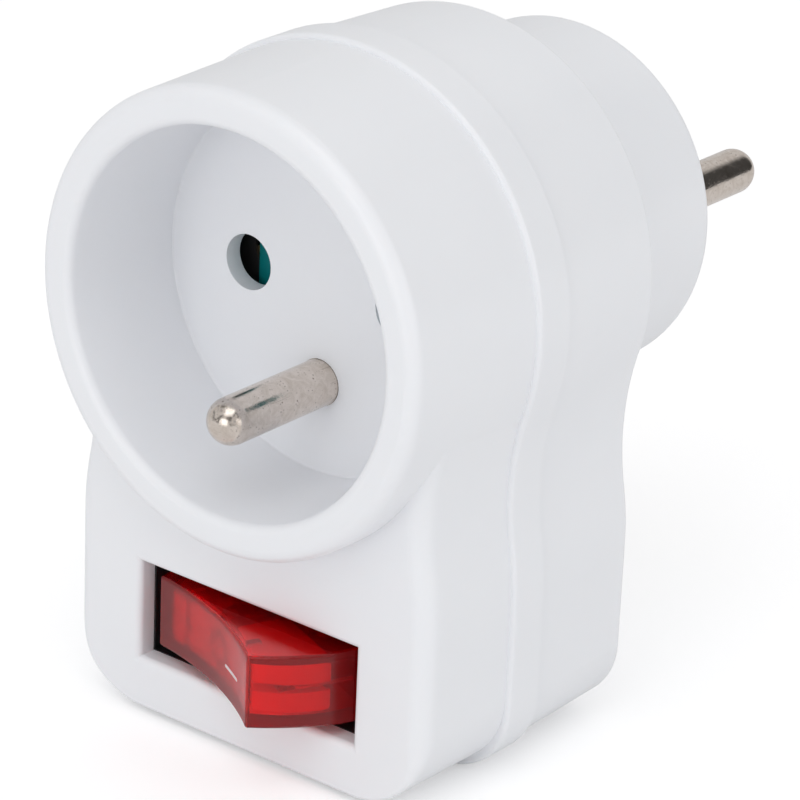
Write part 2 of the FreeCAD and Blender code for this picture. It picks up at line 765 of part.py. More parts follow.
def place_in_rocker(shape):
    """From the rocker's own frame, u along the face and v to the front, at the tilt it rests in."""
    turned = shape.copy()
    turned.rotate(V(0, 0, 0), V(1, 0, 0), 180)
    turned.rotate(V(0, 0, 0), V(0, 0, 1), -rocker_tilt)
    turned.translate(V(0, rocker_y, -switch_drop))
    return turned


def bar_v(radius, v0, v1, u=0.0, up=0.0):
    """Round bar along v in the rocker's frame."""
    return Part.makeCylinder(radius, v1 - v0, V(u, v0, up), V(0, 1, 0))


def tube_top_v():
    """Closed front end of the plunger's tube, in the rocker's frame."""
    return rocker_ridge_rise - rocker_hollow - rocker_wall


# Rocker: hollow see-through cap with two trunnions and the plunger's tube
def rocker():
    half = rocker_height / 2
    solid = rocker_profile(0).extrude(V(0, 0, rocker_height))
    solid.translate(V(0, 0, -half))

    def on_front(edge):
        box = edge.BoundBox
        return box.YMin > 0.9 and box.ZMax - box.ZMin < 0.01 or (box.YMin > rocker_ridge_rise - 0.1)
    solid = solid.makeFillet(rocker_edge, [edge for edge in solid.Edges if on_front(edge)])
    inner = rocker_profile(rocker_wall).extrude(V(0, 0, rocker_height - 2 * rocker_wall))
    inner.translate(V(0, 0, rocker_wall - half))
    cap = solid.cut(inner)
    tube_outer = plunger_radius + plunger_fit + plunger_tube_wall
    cap = cap.fuse(bar_v(tube_outer, -tube_skirt, tube_top_v() + 0.5))
    reach = window_height / 2 + frame_side - 0.5
    for side in (-1, 1):
        z0 = side * (half - 0.3)
        z1 = side * reach
        cap = cap.fuse(Part.makeCylinder(trunnion_radius, abs(z1 - z0), V(0, 0, min(z0, z1)), V(0, 0, 1)))
    rib_low = lamp_depth + lamp_radius + 0.4
    for side in (-1, 1):
        rib = Part.makeBox(rocker_rib, rocker_ridge_rise - rib_low, rocker_height - 2 * rocker_wall + 0.4,
                           V(side * rocker_rib_place - rocker_rib / 2, rib_low, rocker_wall - half - 0.2))
        cap = cap.fuse(rib.common(solid))
    bore = bar_v(plunger_radius + plunger_fit, -tube_skirt - 1, tube_top_v())
    cap = cap.cut(bore)
    return place_in_rocker(cap.removeSplitter())


def plunger_top_v():
    """Inner end of the plunger, in the rocker's frame."""
    return plunger_length - plunger_reach


def plunger():
    low = -plunger_reach
    bar = bar_v(plunger_radius, low + plunger_radius, plunger_top_v())
    ball = Part.makeSphere(plunger_radius, V(0, low + plunger_radius, 0))
    return place_in_rocker(join(bar, ball))


def plunger_spring():
    start = plunger_top_v() + spring_end_gap
    length = tube_top_v() - spring_end_gap - start
    spring = helix_spring(plunger_spring_radius, plunger_spring_wire, plunger_spring_turns, length,
                          V(0, start, 0), V(0, 1, 0))
    return place_in_rocker(spring)


def place_lever(shape):
    """From the lever's own frame to the body: fold on the lever's axis, right arm pressed back."""
    turned = shape.copy()
    turned.rotate(V(0, 0, 0), V(0, 0, 1), lever_rock)
    turned.translate(V(0, lever_y, -switch_drop))
    return turned


# Rocking contact: a strip folded into a shallow V, its pivot tabs and a silver button
def contact_lever():
    fold = math.radians(lever_fold)
    reach = contact_reach + lever_tip
    rise = reach * math.tan(fold)
    thick = lever_thickness / math.cos(fold)
    corners = [V(-reach, -rise, 0), V(0, 0, 0), V(reach, -rise, 0),
               V(reach, -rise + thick, 0), V(0, thick, 0), V(-reach, -rise + thick, 0)]
    strip = Part.Face(Part.makePolygon(corners + corners[:1])).extrude(V(0, 0, 2 * lever_half_width))
    strip.translate(V(0, -thick / 2, -lever_half_width))
    pins = Part.makeCylinder(lever_pin_radius, 2 * ear_outer_z(), V(0, 0, -ear_outer_z()), V(0, 0, 1))
    button_y = -contact_reach * math.tan(fold) + thick / 2 - 0.1
    button = Part.makeCylinder(button_radius, button_thickness + 0.1,
                               V(-contact_reach, button_y, 0), V(0, 1, 0))
    button.rotate(V(-contact_reach, button_y, 0), V(0, 0, 1), lever_fold)
    return place_lever(join(strip, pins, button))


def ear_outer_z():
    """Outer face of the ears that carry the lever."""
    return lever_half_width + ear_gap + ear_thickness


# Middle terminal: base, two ears with bearings, and the blade through the frame
def lever_terminal():
    base = block(-ear_half_width - 0.6, ear_half_width + 0.6, frame_floor_y - strip_thickness, frame_floor_y,
                 -ear_outer_z(), ear_outer_z())
    part = base
    for side in (-1, 1):
        z0 = side * (lever_half_width + ear_gap)
        z1 = side * ear_outer_z()
        ear = block(-ear_half_width, ear_half_width, lever_y, frame_floor_y, min(z0, z1), max(z0, z1))
        ear = ear.fuse(pin_z(ear_half_width, min(z0, z1), max(z0, z1), 0, lever_y))
        part = part.fuse(ear)
    reach = ear_outer_z() + 1
    part = part.cut(pin_z(lever_pin_radius + lever_pin_fit, -reach, reach, 0, lever_y))
    blade = block(-blade_half_width, blade_half_width, frame_floor_y - 0.2, blade_end_y(),
                  -strip_thickness / 2, strip_thickness / 2)
    part = part.fuse(blade).removeSplitter()
    part.translate(V(0, 0, -switch_drop))
    return part


def blade_end_y():
    """Rear end of the two terminal blades."""
    return line_strap_y() + strip_thickness + 0.8


def line_strap_y():
    """Front face of the flat part of the strap from the plug pin."""
    return shoulder_inner_y - line_strap_space


def out_strap_y():
    """Front face of the strap to the contact sleeve."""
    return shoulder_inner_y - out_strap_space


# Fixed contact: foot, silver button and the blade through the frame
def fixed_contact():
    fold = math.radians(lever_fold - lever_rock)
    arm_back = lever_y - contact_reach * math.tan(fold)
    arm_back += lever_thickness / 2 / math.cos(math.radians(lever_fold))
    button_y = arm_back + button_thickness + contact_gap
    foot_y = frame_floor_y - strip_thickness
    x = -contact_reach
    foot = block(x - foot_half_length, x + foot_half_length, foot_y, frame_floor_y,
                 -foot_half_width, foot_half_width)
    button = cylinder(button_radius, button_y, foot_y + 0.2, x, 0)
    blade = block(x - blade_half_width, x + blade_half_width, frame_floor_y - 0.2,
                  out_strap_y() + strip_thickness + 0.6, -strip_thickness / 2, strip_thickness / 2)
    part = join(foot, button, blade)
    part.translate(V(0, 0, -switch_drop))
    return part


def plate_xz(corners, y):
    """Flat strap: a closed outline in XZ, one sheet thick."""
    points = [V(x, y, z) for x, z in corners]
    return Part.Face(Part.makePolygon(points + points[:1])).extrude(V(0, strip_thickness, 0))


# Strap from the line pin's tail to the middle terminal: eye, two bends and a flat foot
def line_strap():
    x0 = half_pitch - strip_width / 2
    x1 = x0 + strip_width
    eye_y = strap_eye_y()
    flat_y = line_strap_y()
    level = -earth_offset - 0.5
    radius = pin_tail_radius + 2.0
    part = cylinder(radius, eye_y, eye_y + strip_thickness, half_pitch, 0)
    part = part.fuse(block(x0, x1, eye_y, eye_y + strip_thickness, level, 0))
    part = part.fuse(block(x0, x1, flat_y, eye_y + strip_thickness, level, level + strip_thickness))
    foot_z = -switch_drop
    half = strip_width / 2
    corners = [(x0, level + strip_thickness), (x1, level + strip_thickness), (x1, foot_z - half),
               (-half, foot_z - half), (-half, foot_z + half), (x0, foot_z + half)]
    part = part.fuse(plate_xz(corners, flat_y)).removeSplitter()

    def is_bend(edge):
        box = edge.BoundBox
        long_x = box.XMax - box.XMin > strip_width - 0.1
        flat = box.YMax - box.YMin < 1e-3 and box.ZMax - box.ZMin < 1e-3
        outer_eye = abs(box.YMin - eye_y - strip_thickness) < 1e-3 and abs(box.ZMin - level) < 1e-3
        outer_flat = abs(box.YMin - flat_y) < 1e-3 and abs(box.ZMin - level - strip_thickness) < 1e-3
        return long_x and flat and (outer_eye or outer_flat)
    part = part.makeFillet(strap_bend / 2, [edge for edge in part.Edges if is_bend(edge)])
    part = part.cut(cylinder(pin_tail_radius + close_fit, eye_y - 1, eye_y + 2, half_pitch, 0))
    slot = strip_thickness / 2 + blade_fit
    wide = blade_half_width + blade_fit
    return part.cut(block(-wide, wide, flat_y - 1, flat_y + 2, foot_z - slot, foot_z + slot)).removeSplitter()


# Strap from the fixed contact to the line sleeve, led between the sleeves and the earth tail
def out_strap():
    y = out_strap_y()
    leg0 = earth_tail_radius + strap_air
    leg1 = half_pitch - strip_width / 2 - strap_air
    foot_z = -switch_drop
    end_x = -contact_reach - strip_width / 2
    half = strip_width / 2
    corners = [(half_pitch, half), (leg0, half), (leg0, foot_z + half), (end_x, foot_z + half),
               (end_x, foot_z - half), (leg1, foot_z - half), (leg1, -half), (half_pitch, -half)]
    part = plate_xz(corners, y)
    part = part.fuse(cylinder(sleeve_outer + 1.4, y, y + strip_thickness, half_pitch, 0))
    part = part.cut(cylinder(sleeve_outer + close_fit, y - 1, y + 2, half_pitch, 0))
    slot = strip_thickness / 2 + blade_fit
    wide = blade_half_width + blade_fit
    x = -contact_reach
    return part.cut(block(x - wide, x + wide, y - 1, y + 2, foot_z - slot, foot_z + slot)).removeSplitter()


# Neon lamp with its glass ends, lying in the right half of the rocker
def neon_lamp():
    start = V(lamp_start, lamp_depth, 0)
    glass = Part.makeCylinder(lamp_radius, lamp_end - lamp_start, start, V(1, 0, 0))
    ends = [edge for edge in glass.Edges if edge.BoundBox.XMax - edge.BoundBox.XMin < 1e-3]
    return place_in_rocker(glass.makeFillet(lamp_radius * 0.6, ends))


def lamp_resistor():
    start = V(-resistor_end, lamp_depth, 0)
    body = Part.makeCylinder(resistor_radius, resistor_end - resistor_start, start, V(1, 0, 0))
    ends = [edge for edge in body.Edges if edge.BoundBox.XMax - edge.BoundBox.XMin < 1e-3]
    return place_in_rocker(body.makeFillet(resistor_radius * 0.4, ends))


def wire_along(points, bend):
    """Thin wire along a polyline with rounded corners."""
    edges = []
    start = points[0]
    for i in range(1, len(points) - 1):
        back = (points[i - 1] - points[i]).normalize()
        ahead = (points[i + 1] - points[i]).normalize()
        cut = bend / math.tan(back.getAngle(ahead) / 2)
        first = points[i] + back * cut
        last = points[i] + ahead * cut
        edges.append(Part.LineSegment(start, first).toShape())
        edges.append(corner_arc(first, points[i], last))
        start = last
    edges.append(Part.LineSegment(start, points[-1]).toShape())
    path = Part.Wire(edges)
    tangent = (points[1] - points[0]).normalize()
    profile = Part.Wire(Part.makeCircle(lead_radius, points[0], tangent))
    return path.makePipeShell([profile], True, False)


# Leads: lamp to resistor past the tube, and one down to each end of the cap
def lamp_leads():
    tube_outer = plunger_radius + plunger_fit + plunger_tube_wall
    side = (tube_outer + rocker_height / 2 - rocker_wall) / 2
    foot = -rocker_skirt + lead_foot
    lamp_turn = lamp_start - lead_reach
    resistor_turn = -resistor_start + lead_reach
    across = wire_along([V(lamp_start, lamp_depth, 0), V(lamp_turn, lamp_depth, 0),
                         V(lamp_turn, lamp_depth, side), V(resistor_turn, lamp_depth, side),
                         V(resistor_turn, lamp_depth, 0), V(-resistor_start, lamp_depth, 0)], lead_bend)
    ends = []
    for start in (lamp_end, -resistor_end):
        turn = start + math.copysign(lead_reach, start)
        ends.append(wire_along([V(start, lamp_depth, 0), V(turn, lamp_depth, 0), V(turn, foot, 0)],
                               lead_bend))
    return place_in_rocker(Part.makeCompound([across] + ends))


nodes = {
    "front_shell": front_shell,
    "rear_shell": rear_shell,
    "case_screws": case_screws,
    "earth_pin": earth_pin,
    "earth_sleeve": earth_sleeve,
    "neutral_pin": neutral_pin,
    "line_pin": line_pin,
    "neutral_contact": lambda: contact_sleeve(-1),
    "line_contact": lambda: contact_sleeve(1),
    "contact_carrier": contact_carrier,
    "shutter": shutter,
    "shutter_spring": shutter_spring,
    "switch_frame": switch_frame,
    "rocker": rocker,
    "plunger": plunger,
    "plunger_spring": plunger_spring,
    "contact_lever": contact_lever,
    "lever_terminal": lever_terminal,
    "fixed_contact": fixed_contact,
    "line_strap": line_strap,
    "out_strap": out_strap,
    "neon_lamp": neon_lamp,
    "lamp_resistor": lamp_resistor,
    "lamp_leads": lamp_leads,
}

os.makedirs("parts", exist_ok=True)
for name, make in nodes.items():
    shape = make()
    if not shape.isValid():
        print("invalid shape:", name)
    print(name, "solids", len(shape.Solids), "volume", round(shape.Volume, 1))
    shape.exportStep("parts/" + name + ".step")
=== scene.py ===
"""Finishes, small visible pieces, studio and camera for a switched plug-in socket."""
import logging
import math
from abc import ABC, abstractmethod
from dataclasses import dataclass, field, replace
from enum import Enum
from typing import Any, Callable, ClassVar, Iterable, Mapping, Sequence

import bmesh
import bpy
from mathutils import Euler, Matrix, Vector


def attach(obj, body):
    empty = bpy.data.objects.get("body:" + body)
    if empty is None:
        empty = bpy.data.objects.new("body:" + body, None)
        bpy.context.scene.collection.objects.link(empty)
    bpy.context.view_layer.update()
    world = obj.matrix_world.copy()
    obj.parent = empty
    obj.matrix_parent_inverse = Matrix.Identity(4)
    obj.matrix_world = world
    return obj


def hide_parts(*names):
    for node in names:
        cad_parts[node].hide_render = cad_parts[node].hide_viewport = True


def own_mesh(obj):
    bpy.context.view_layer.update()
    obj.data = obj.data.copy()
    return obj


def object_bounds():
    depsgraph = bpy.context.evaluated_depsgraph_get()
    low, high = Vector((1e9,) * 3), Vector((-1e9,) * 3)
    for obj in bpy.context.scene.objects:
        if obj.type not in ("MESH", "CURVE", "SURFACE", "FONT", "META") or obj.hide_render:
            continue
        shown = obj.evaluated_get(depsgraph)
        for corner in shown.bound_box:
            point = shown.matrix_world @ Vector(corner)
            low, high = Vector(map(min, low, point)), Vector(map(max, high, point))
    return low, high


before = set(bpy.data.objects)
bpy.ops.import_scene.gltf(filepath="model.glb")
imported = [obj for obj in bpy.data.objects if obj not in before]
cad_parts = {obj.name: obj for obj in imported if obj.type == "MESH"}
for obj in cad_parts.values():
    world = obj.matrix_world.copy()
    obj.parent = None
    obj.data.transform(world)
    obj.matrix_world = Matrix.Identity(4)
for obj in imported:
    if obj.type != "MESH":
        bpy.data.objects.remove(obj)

MM = 0.001
WELD = 1e-7
MASK_SPAN = (0.3, 0.7)
ROCKER_PIVOT = Vector((0.0, -44.4, -35.9)) * MM
ROCKER_TILT = math.radians(22.8)
LOG = logging.getLogger("switched_socket")
START_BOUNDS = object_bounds()

NUMBER, VECTOR, WHOLE = "NodeSocketFloat", "NodeSocketVector", "NodeSocketInt"
SHAPE, PAINT = "NodeSocketGeometry", "NodeSocketMaterial"

Colour = tuple[float, float, float]
Range = tuple[float, float]
Node = bpy.types.Node
Socket = bpy.types.NodeSocket
NodeTree = bpy.types.NodeTree


class Slot(Enum):
    """Material slots of the record that the added pieces take their finish from."""

    LENS = "red_lens"
    SPRING = "spring_steel"
    SCREW = "screw_steel"
    LEAD = "lead_wire"


class Body(Enum):
    """Moving bodies of the part that the added pieces ride on."""

    CASING = "casing"
    ROCKER = "rocker_body"


class Tree:
    """Adds and joins nodes in one node tree."""

    def __init__(self, tree: NodeTree) -> None:
        """Keeps the tree that the nodes go into."""
        self.tree = tree

    def feed(self, node: Node, inputs: Mapping[Any, Any]) -> Node:
        """Sets or links a node's inputs.

        Args:
            node: The node.
            inputs: Values or sockets by input name or number.

        Returns:
            The same node.
        """
        for key, value in inputs.items():
            if isinstance(value, Socket):
                self.tree.links.new(value, node.inputs[key])
            else:
                node.inputs[key].default_value = value
        return node

    def add(self, kind: str, inputs: Mapping[Any, Any] | None = None, **settings: Any) -> Node:
        """Adds one node.

        Args:
            kind: The node's type name.
            inputs: Values or sockets by input name or number.
            settings: Properties of the node itself.

        Returns:
            The new node.
        """
        node = self.tree.nodes.new(kind)
        for key, value in settings.items():
            setattr(node, key, value)
        return self.feed(node, inputs or {})

    def math(self, operation: str, first: Any, second: Any) -> Socket:
        """Adds a math node.

        Args:
            operation: What it does, as Blender names it.
            first: First value or socket.
            second: Second value or socket.

        Returns:
            The result's socket.
        """
        return self.add("ShaderNodeMath", {0: first, 1: second}, operation=operation).outputs[0]

    def times(self, first: Any, second: Any) -> Socket:
        """Multiplies two numbers or sockets."""
        return self.math("MULTIPLY", first, second)

    def vector(self, x: Any, y: Any, z: Any) -> Socket:
        """Joins three numbers or sockets to a vector."""
        return self.add("ShaderNodeCombineXYZ", {0: x, 1: y, 2: z}).outputs[0]

    def ramp(self, value: Any, span: tuple[Any, Any], to: tuple[Any, Any] = (0.0, 1.0),
             smooth: bool = False) -> Socket:
        """Maps a number from one range to another.

        Args:
            value: The number's socket.
            span: Where it starts and ends.
            to: What it becomes at its start and end.
            smooth: Eases both ends.

        Returns:
            The new number's socket.
        """
        return self.add("ShaderNodeMapRange", {
            "Value": value, "From Min": span[0], "From Max": span[1],
            "To Min": to[0], "To Max": to[1]},
            interpolation_type="SMOOTHSTEP" if smooth else "LINEAR").outputs[0]

    def noise(self, place: Socket, scale: Any, detail: float, rough: float = 0.5,
              bend: float = 0.0) -> Socket:
        """Adds a noise texture.

        Args:
            place: Where it is read.
            scale: Its scale.
            detail: Number of finer layers.
            rough: Weight of the finer layers.
            bend: How far it distorts itself.

        Returns:
            The noise value's socket.
        """
        return self.add("ShaderNodeTexNoise", {
            "Vector": place, "Scale": scale, "Detail": detail, "Roughness": rough,
            "Distortion": bend}).outputs[0]

    def moved(self, shape: Socket, **how: Any) -> Socket:
        """Moves a shape by Translation, Rotation or Scale, in a geometry tree."""
        return self.add("GeometryNodeTransform", {"Geometry": shape, **how}).outputs[0]

    def settle(self, shape: Socket, material: Socket, result: Node) -> NodeTree:
        """Makes instances real, paints the shape and puts it out.

        Args:
            shape: The shape's socket.
            material: The material's socket.
            result: The group's output node.

        Returns:
            The finished geometry tree.
        """
        real = self.add("GeometryNodeRealizeInstances", {"Geometry": shape})
        painted = self.add("GeometryNodeSetMaterial", {"Geometry": real.outputs[0],
                                                       "Material": material})
        self.feed(result, {0: painted.outputs[0]})
        return self.tree


def new_group(name: str, kind: str, inputs: Mapping[str, tuple[str, Any]],
              outputs: Mapping[str, str]) -> tuple[Tree, Node, Node]:
    """Makes an empty node group with named sockets.

    Args:
        name: The group's name.
        kind: Tree type, for shading or for geometry.
        inputs: Socket type and starting value by input name.
        outputs: Socket type by output name.

    Returns:
        The tree, its input node and its output node.
    """
    group = bpy.data.node_groups.new(name, kind)
    for label, (socket, value) in inputs.items():
        made = group.interface.new_socket(label, in_out="INPUT", socket_type=socket)
        if value is not None:
            made.default_value = value
    for label, socket in outputs.items():
        group.interface.new_socket(label, in_out="OUTPUT", socket_type=socket)
    tree = Tree(group)
    return tree, tree.add("NodeGroupInput"), tree.add("NodeGroupOutput")


class Effects:
    """Shader groups that several finishes share, each built once."""

    _made: dict[str, NodeTree] = {}

    @classmethod
    def place(cls, tree: Tree, name: str, make: Callable[[str], NodeTree],
              inputs: Mapping[str, Any]) -> Mapping[str, Socket]:
        """Places a group in a material, building it the first time.

        Args:
            tree: The material's tree.
            name: The group's name.
            make: Builds the group from its name.
            inputs: The values it takes here.

        Returns:
            The group's output sockets by name.
        """
        if name not in cls._made:
            cls._made[name] = make(name)
        return tree.add("ShaderNodeGroup", inputs, node_tree=cls._made[name]).outputs

    @staticmethod
    def moulded_skin(name: str) -> NodeTree:
        """Fine grain, slow colour drift and gloss patches of moulded plastic.

        Args:
            name: The group's name.

        Returns:
            The shader group.
        """
        tree, given, result = new_group(
            name, "ShaderNodeTree",
            {"Grain Size": (NUMBER, 0.0003), "Mottle Size": (NUMBER, 0.012),
             "Flow Size": (NUMBER, 0.03)},
            {"Height": NUMBER, "Tone": NUMBER, "Gloss": NUMBER})
        place = tree.add("ShaderNodeTexCoord").outputs["Object"]
        grain, mottle, flow = (
            tree.noise(place, tree.math("DIVIDE", 1.0, given.outputs[size]), detail, rough, bend)
            for size, detail, rough, bend in (("Grain Size", 3.0, 0.55, 0.0),
                                              ("Mottle Size", 4.0, 0.6, 0.0),
                                              ("Flow Size", 2.0, 0.5, 1.2)))
        mottle_share = 0.6
        tree.feed(result, {"Height": tree.math("ADD", grain, tree.times(mottle, mottle_share)),
                           "Tone": tree.times(tree.math("ADD", mottle, flow), 0.5),
                           "Gloss": tree.times(tree.math("ADD", grain, mottle), 0.5)})
        return tree.tree

    @staticmethod
    def worked_metal(name: str) -> NodeTree:
        """Drawing streaks, small pits in clusters and dull patches of a metal piece.

        Args:
            name: The group's name.

        Returns:
            The shader group.
        """
        tree, given, result = new_group(
            name, "ShaderNodeTree",
            {"Streak Scale": (VECTOR, (900.0, 60.0, 900.0)), "Pit Size": (NUMBER, 0.0004),
             "Pit Share": (NUMBER, 0.2), "Patch Size": (NUMBER, 0.004),
             "Score From": (NUMBER, 0.7)},
            {"Streaks": NUMBER, "Pits": NUMBER, "Patches": NUMBER, "Height": NUMBER})
        cluster_span, cluster_growth, score_edge = (0.45, 0.64), (0.02, 1.7), 0.05
        score_depth, streak_rise, patch_rise = 0.7, 0.4, 1.2
        place = tree.add("ShaderNodeTexCoord").outputs["Object"]
        sizes = given.outputs
        stretched = tree.add("ShaderNodeVectorMath", {0: place, 1: sizes["Streak Scale"]},
                             operation="MULTIPLY").outputs[0]
        streaks = tree.noise(stretched, 1.0, detail=5.0, rough=0.65)
        patches = tree.noise(place, tree.math("DIVIDE", 1.0, sizes["Patch Size"]), detail=5.0,
                             rough=0.7, bend=0.8)
        cells = tree.add("ShaderNodeTexVoronoi", {
            "Vector": place, "Scale": tree.math("DIVIDE", 1.0, sizes["Pit Size"]),
            "Randomness": 1.0})
        reach = tree.times(sizes["Pit Share"], tree.ramp(patches, cluster_span, cluster_growth))
        pits = tree.ramp(cells.outputs["Distance"], (0.0, reach), (1.0, 0.0), smooth=True)
        score_full = tree.math("ADD", sizes["Score From"], score_edge)
        scores = tree.ramp(streaks, (sizes["Score From"], score_full), smooth=True)
        marks = tree.math("MAXIMUM", pits, tree.times(scores, score_depth))
        relief = tree.math("ADD", tree.times(streaks, streak_rise),
                           tree.times(patches, patch_rise))
        tree.feed(result, {"Streaks": streaks, "Pits": marks, "Patches": patches,
                           "Height": tree.math("SUBTRACT", relief, marks)})
        return tree.tree


@dataclass(frozen=True)
class Finish(ABC):
    """One surface finish, as a procedural material."""

    name: str

    def material(self) -> bpy.types.Material:
        """Gives the material, building it the first time.

        Returns:
            The material.
        """
        found = bpy.data.materials.get(self.name)
        if found:
            return found
        made = bpy.data.materials.new(self.name)
        made.use_nodes = True
        made.node_tree.nodes.clear()
        tree = Tree(made.node_tree)
        shader = tree.add("ShaderNodeBsdfPrincipled")
        self.fill(tree, shader)
        tree.add("ShaderNodeOutputMaterial", {"Surface": shader.outputs[0]})
        return made

    @abstractmethod
    def fill(self, tree: Tree, shader: Node) -> None:
        """Sets up the shader.

        Args:
            tree: The material's tree.
            shader: Its Principled shader.
        """

    @staticmethod
    def blend(tree: Tree, mask: Socket, low: Colour, high: Colour,
              span: Range = (0.35, 0.65)) -> Socket:
        """Colour between two, by a mask.

        Args:
            tree: The material's tree.
            mask: Mask socket.
            low: Colour where the mask is at its start.
            high: Colour where the mask is at its end.
            span: Mask values of the two colours.

        Returns:
            The colour's socket.
        """
        ramp = tree.add("ShaderNodeValToRGB", {"Fac": mask})
        for stop, position, colour in zip(ramp.color_ramp.elements, span, (low, high)):
            stop.position, stop.color = position, (*colour, 1.0)
        return ramp.outputs[0]

    @staticmethod
    def bump(tree: Tree, shader: Node, height: Socket, depth: float) -> None:
        """Adds a bump.

        Args:
            tree: The material's tree.
            shader: The shader that takes the normal.
            height: Height socket.
            depth: Depth of the relief in metres.
        """
        node = tree.add("ShaderNodeBump", {"Strength": 1.0, "Distance": depth, "Height": height})
        tree.feed(shader, {"Normal": node.outputs[0]})


@dataclass(frozen=True)
class MouldedPlastic(Finish):
    """Opaque moulded plastic with a fine grain."""

    colour: Colour
    shade: Colour
    gloss: Range = (0.30, 0.42)
    grain: float = 0.35 * MM
    depth: float = 0.004 * MM
    glow: float = 0.0
    mottle: float = 12.0 * MM
    flow: float = 30.0 * MM
    index: float = 1.52
    glow_tint: Colour = (1.0, 0.9, 0.85)
    glow_reach: float = 1.2 * MM

    def fill(self, tree: Tree, shader: Node) -> None:
        """Sets colour drift, gloss patches, grain and a little depth of light.

        Args:
            tree: The material's tree.
            shader: Its Principled shader.
        """
        skin = Effects.place(tree, "moulded skin", Effects.moulded_skin, {
            "Grain Size": self.grain, "Mottle Size": self.mottle, "Flow Size": self.flow})
        tree.feed(shader, {
            "Base Color": self.blend(tree, skin["Tone"], self.shade, self.colour),
            "Roughness": tree.ramp(skin["Gloss"], MASK_SPAN, self.gloss),
            "IOR": self.index})
        if self.glow:
            tree.feed(shader, {"Subsurface Weight": self.glow,
                               "Subsurface Radius": self.glow_tint,
                               "Subsurface Scale": self.glow_reach})
        self.bump(tree, shader, skin["Height"], self.depth)


@dataclass(frozen=True)
class ClearPlastic(MouldedPlastic):
    """See-through dyed plastic with flow lines and one etched face under a polished skin."""

    colour: Colour = (0.97, 0.010, 0.016)
    shade: Colour = (0.92, 0.006, 0.012)
    gloss: Range = (0.04, 0.10)
    grain: float = 0.9 * MM
    depth: float = 0.008 * MM
    mottle: float = 4.0 * MM
    flow: float = 8.0 * MM
    index: float = 1.49
    clear: float = 0.86
    etched: float = 0.66
    polish: float = 0.60
    face_rise: float = 7.2 * MM
    face_bend: float = 13.1
    face_edge: Range = (-0.30 * MM, -0.12 * MM)

    def etched_face(self, name: str) -> NodeTree:
        """Builds the mask of the hollow front face, from its distance along and before the pivot.

        Args:
            name: The group's name.

        Returns:
            The shader group.
        """
        tree, given, result = new_group(
            name, "ShaderNodeTree",
            {"Rise": (NUMBER, self.face_rise), "Bend": (NUMBER, self.face_bend)},
            {"Face": NUMBER})
        place = tree.add("ShaderNodeTexCoord").outputs["Object"]
        off = tree.add("ShaderNodeVectorMath", {0: place, 1: tuple(ROCKER_PIVOT)},
                       operation="SUBTRACT")
        sine, cosine = math.sin(ROCKER_TILT), math.cos(ROCKER_TILT)
        along, front = (tree.add("ShaderNodeVectorMath", {0: off.outputs[0], 1: way},
                                 operation="DOT_PRODUCT").outputs["Value"]
                        for way in ((cosine, -sine, 0.0), (-sine, -cosine, 0.0)))
        bend = tree.times(tree.times(along, along), given.outputs["Bend"])
        above = tree.math("SUBTRACT", front, tree.math("ADD", given.outputs["Rise"], bend))
        tree.feed(result, {"Face": tree.ramp(above, self.face_edge, smooth=True)})
        return tree.tree

    def fill(self, tree: Tree, shader: Node) -> None:
        """Sets dye drift, slow surface waves, clearness and the etched, polished face.

        Args:
            tree: The material's tree.
            shader: Its Principled shader.
        """
        super().fill(tree, shader)
        gloss = shader.inputs["Roughness"].links[0].from_socket
        face = Effects.place(tree, "etched face", self.etched_face, {})["Face"]
        tree.feed(shader, {
            "Roughness": tree.math("ADD", gloss, tree.times(face, self.etched)),
            "Coat Weight": tree.times(face, self.polish),
            "Transmission Weight": self.clear})


@dataclass(frozen=True)
class LampGlass(MouldedPlastic):
    """Thin clear glass with a faint waviness."""

    colour: Colour = (0.99, 0.97, 0.95)
    shade: Colour = (0.97, 0.93, 0.90)
    gloss: Range = (0.01, 0.06)
    grain: float = 1.5 * MM
    depth: float = 0.01 * MM
    index: float = 1.5

    def fill(self, tree: Tree, shader: Node) -> None:
        """Sets clear glass over the drawn surface."""
        super().fill(tree, shader)
        tree.feed(shader, {"Transmission Weight": 1.0})


@dataclass(frozen=True)
class WorkedMetal(Finish):
    """Metal with streaks from drawing or rolling, small pits and duller patches."""

    colour: Colour
    dull: Colour
    pit: Colour
    gloss: Range
    streak: tuple[float, float, float] = (900.0, 60.0, 900.0)
    pit_size: float = 0.6 * MM
    pit_share: float = 0.18
    patch_size: float = 4.0 * MM
    score_from: float = 0.7
    depth: float = 0.01 * MM
    dull_span: Range = (0.3, 0.6)

    def fill(self, tree: Tree, shader: Node) -> None:
        """Sets metal colour, pits, gloss and the relief of streaks.

        Args:
            tree: The material's tree.
            shader: Its Principled shader.
        """
        metal = Effects.place(tree, "worked metal", Effects.worked_metal, {
            "Streak Scale": self.streak, "Pit Size": self.pit_size, "Pit Share": self.pit_share,
            "Patch Size": self.patch_size, "Score From": self.score_from})
        base = self.blend(tree, metal["Patches"], self.dull, self.colour, self.dull_span)
        first, second, mixed = 6, 7, 2
        pitted = tree.add("ShaderNodeMix", {"Factor": metal["Pits"], first: base,
                                            second: (*self.pit, 1.0)}, data_type="RGBA")
        tree.feed(shader, {"Base Color": pitted.outputs[mixed], "Metallic": 1.0,
                           "Roughness": tree.ramp(metal["Streaks"], MASK_SPAN, self.gloss)})
        self.bump(tree, shader, metal["Height"], self.depth)


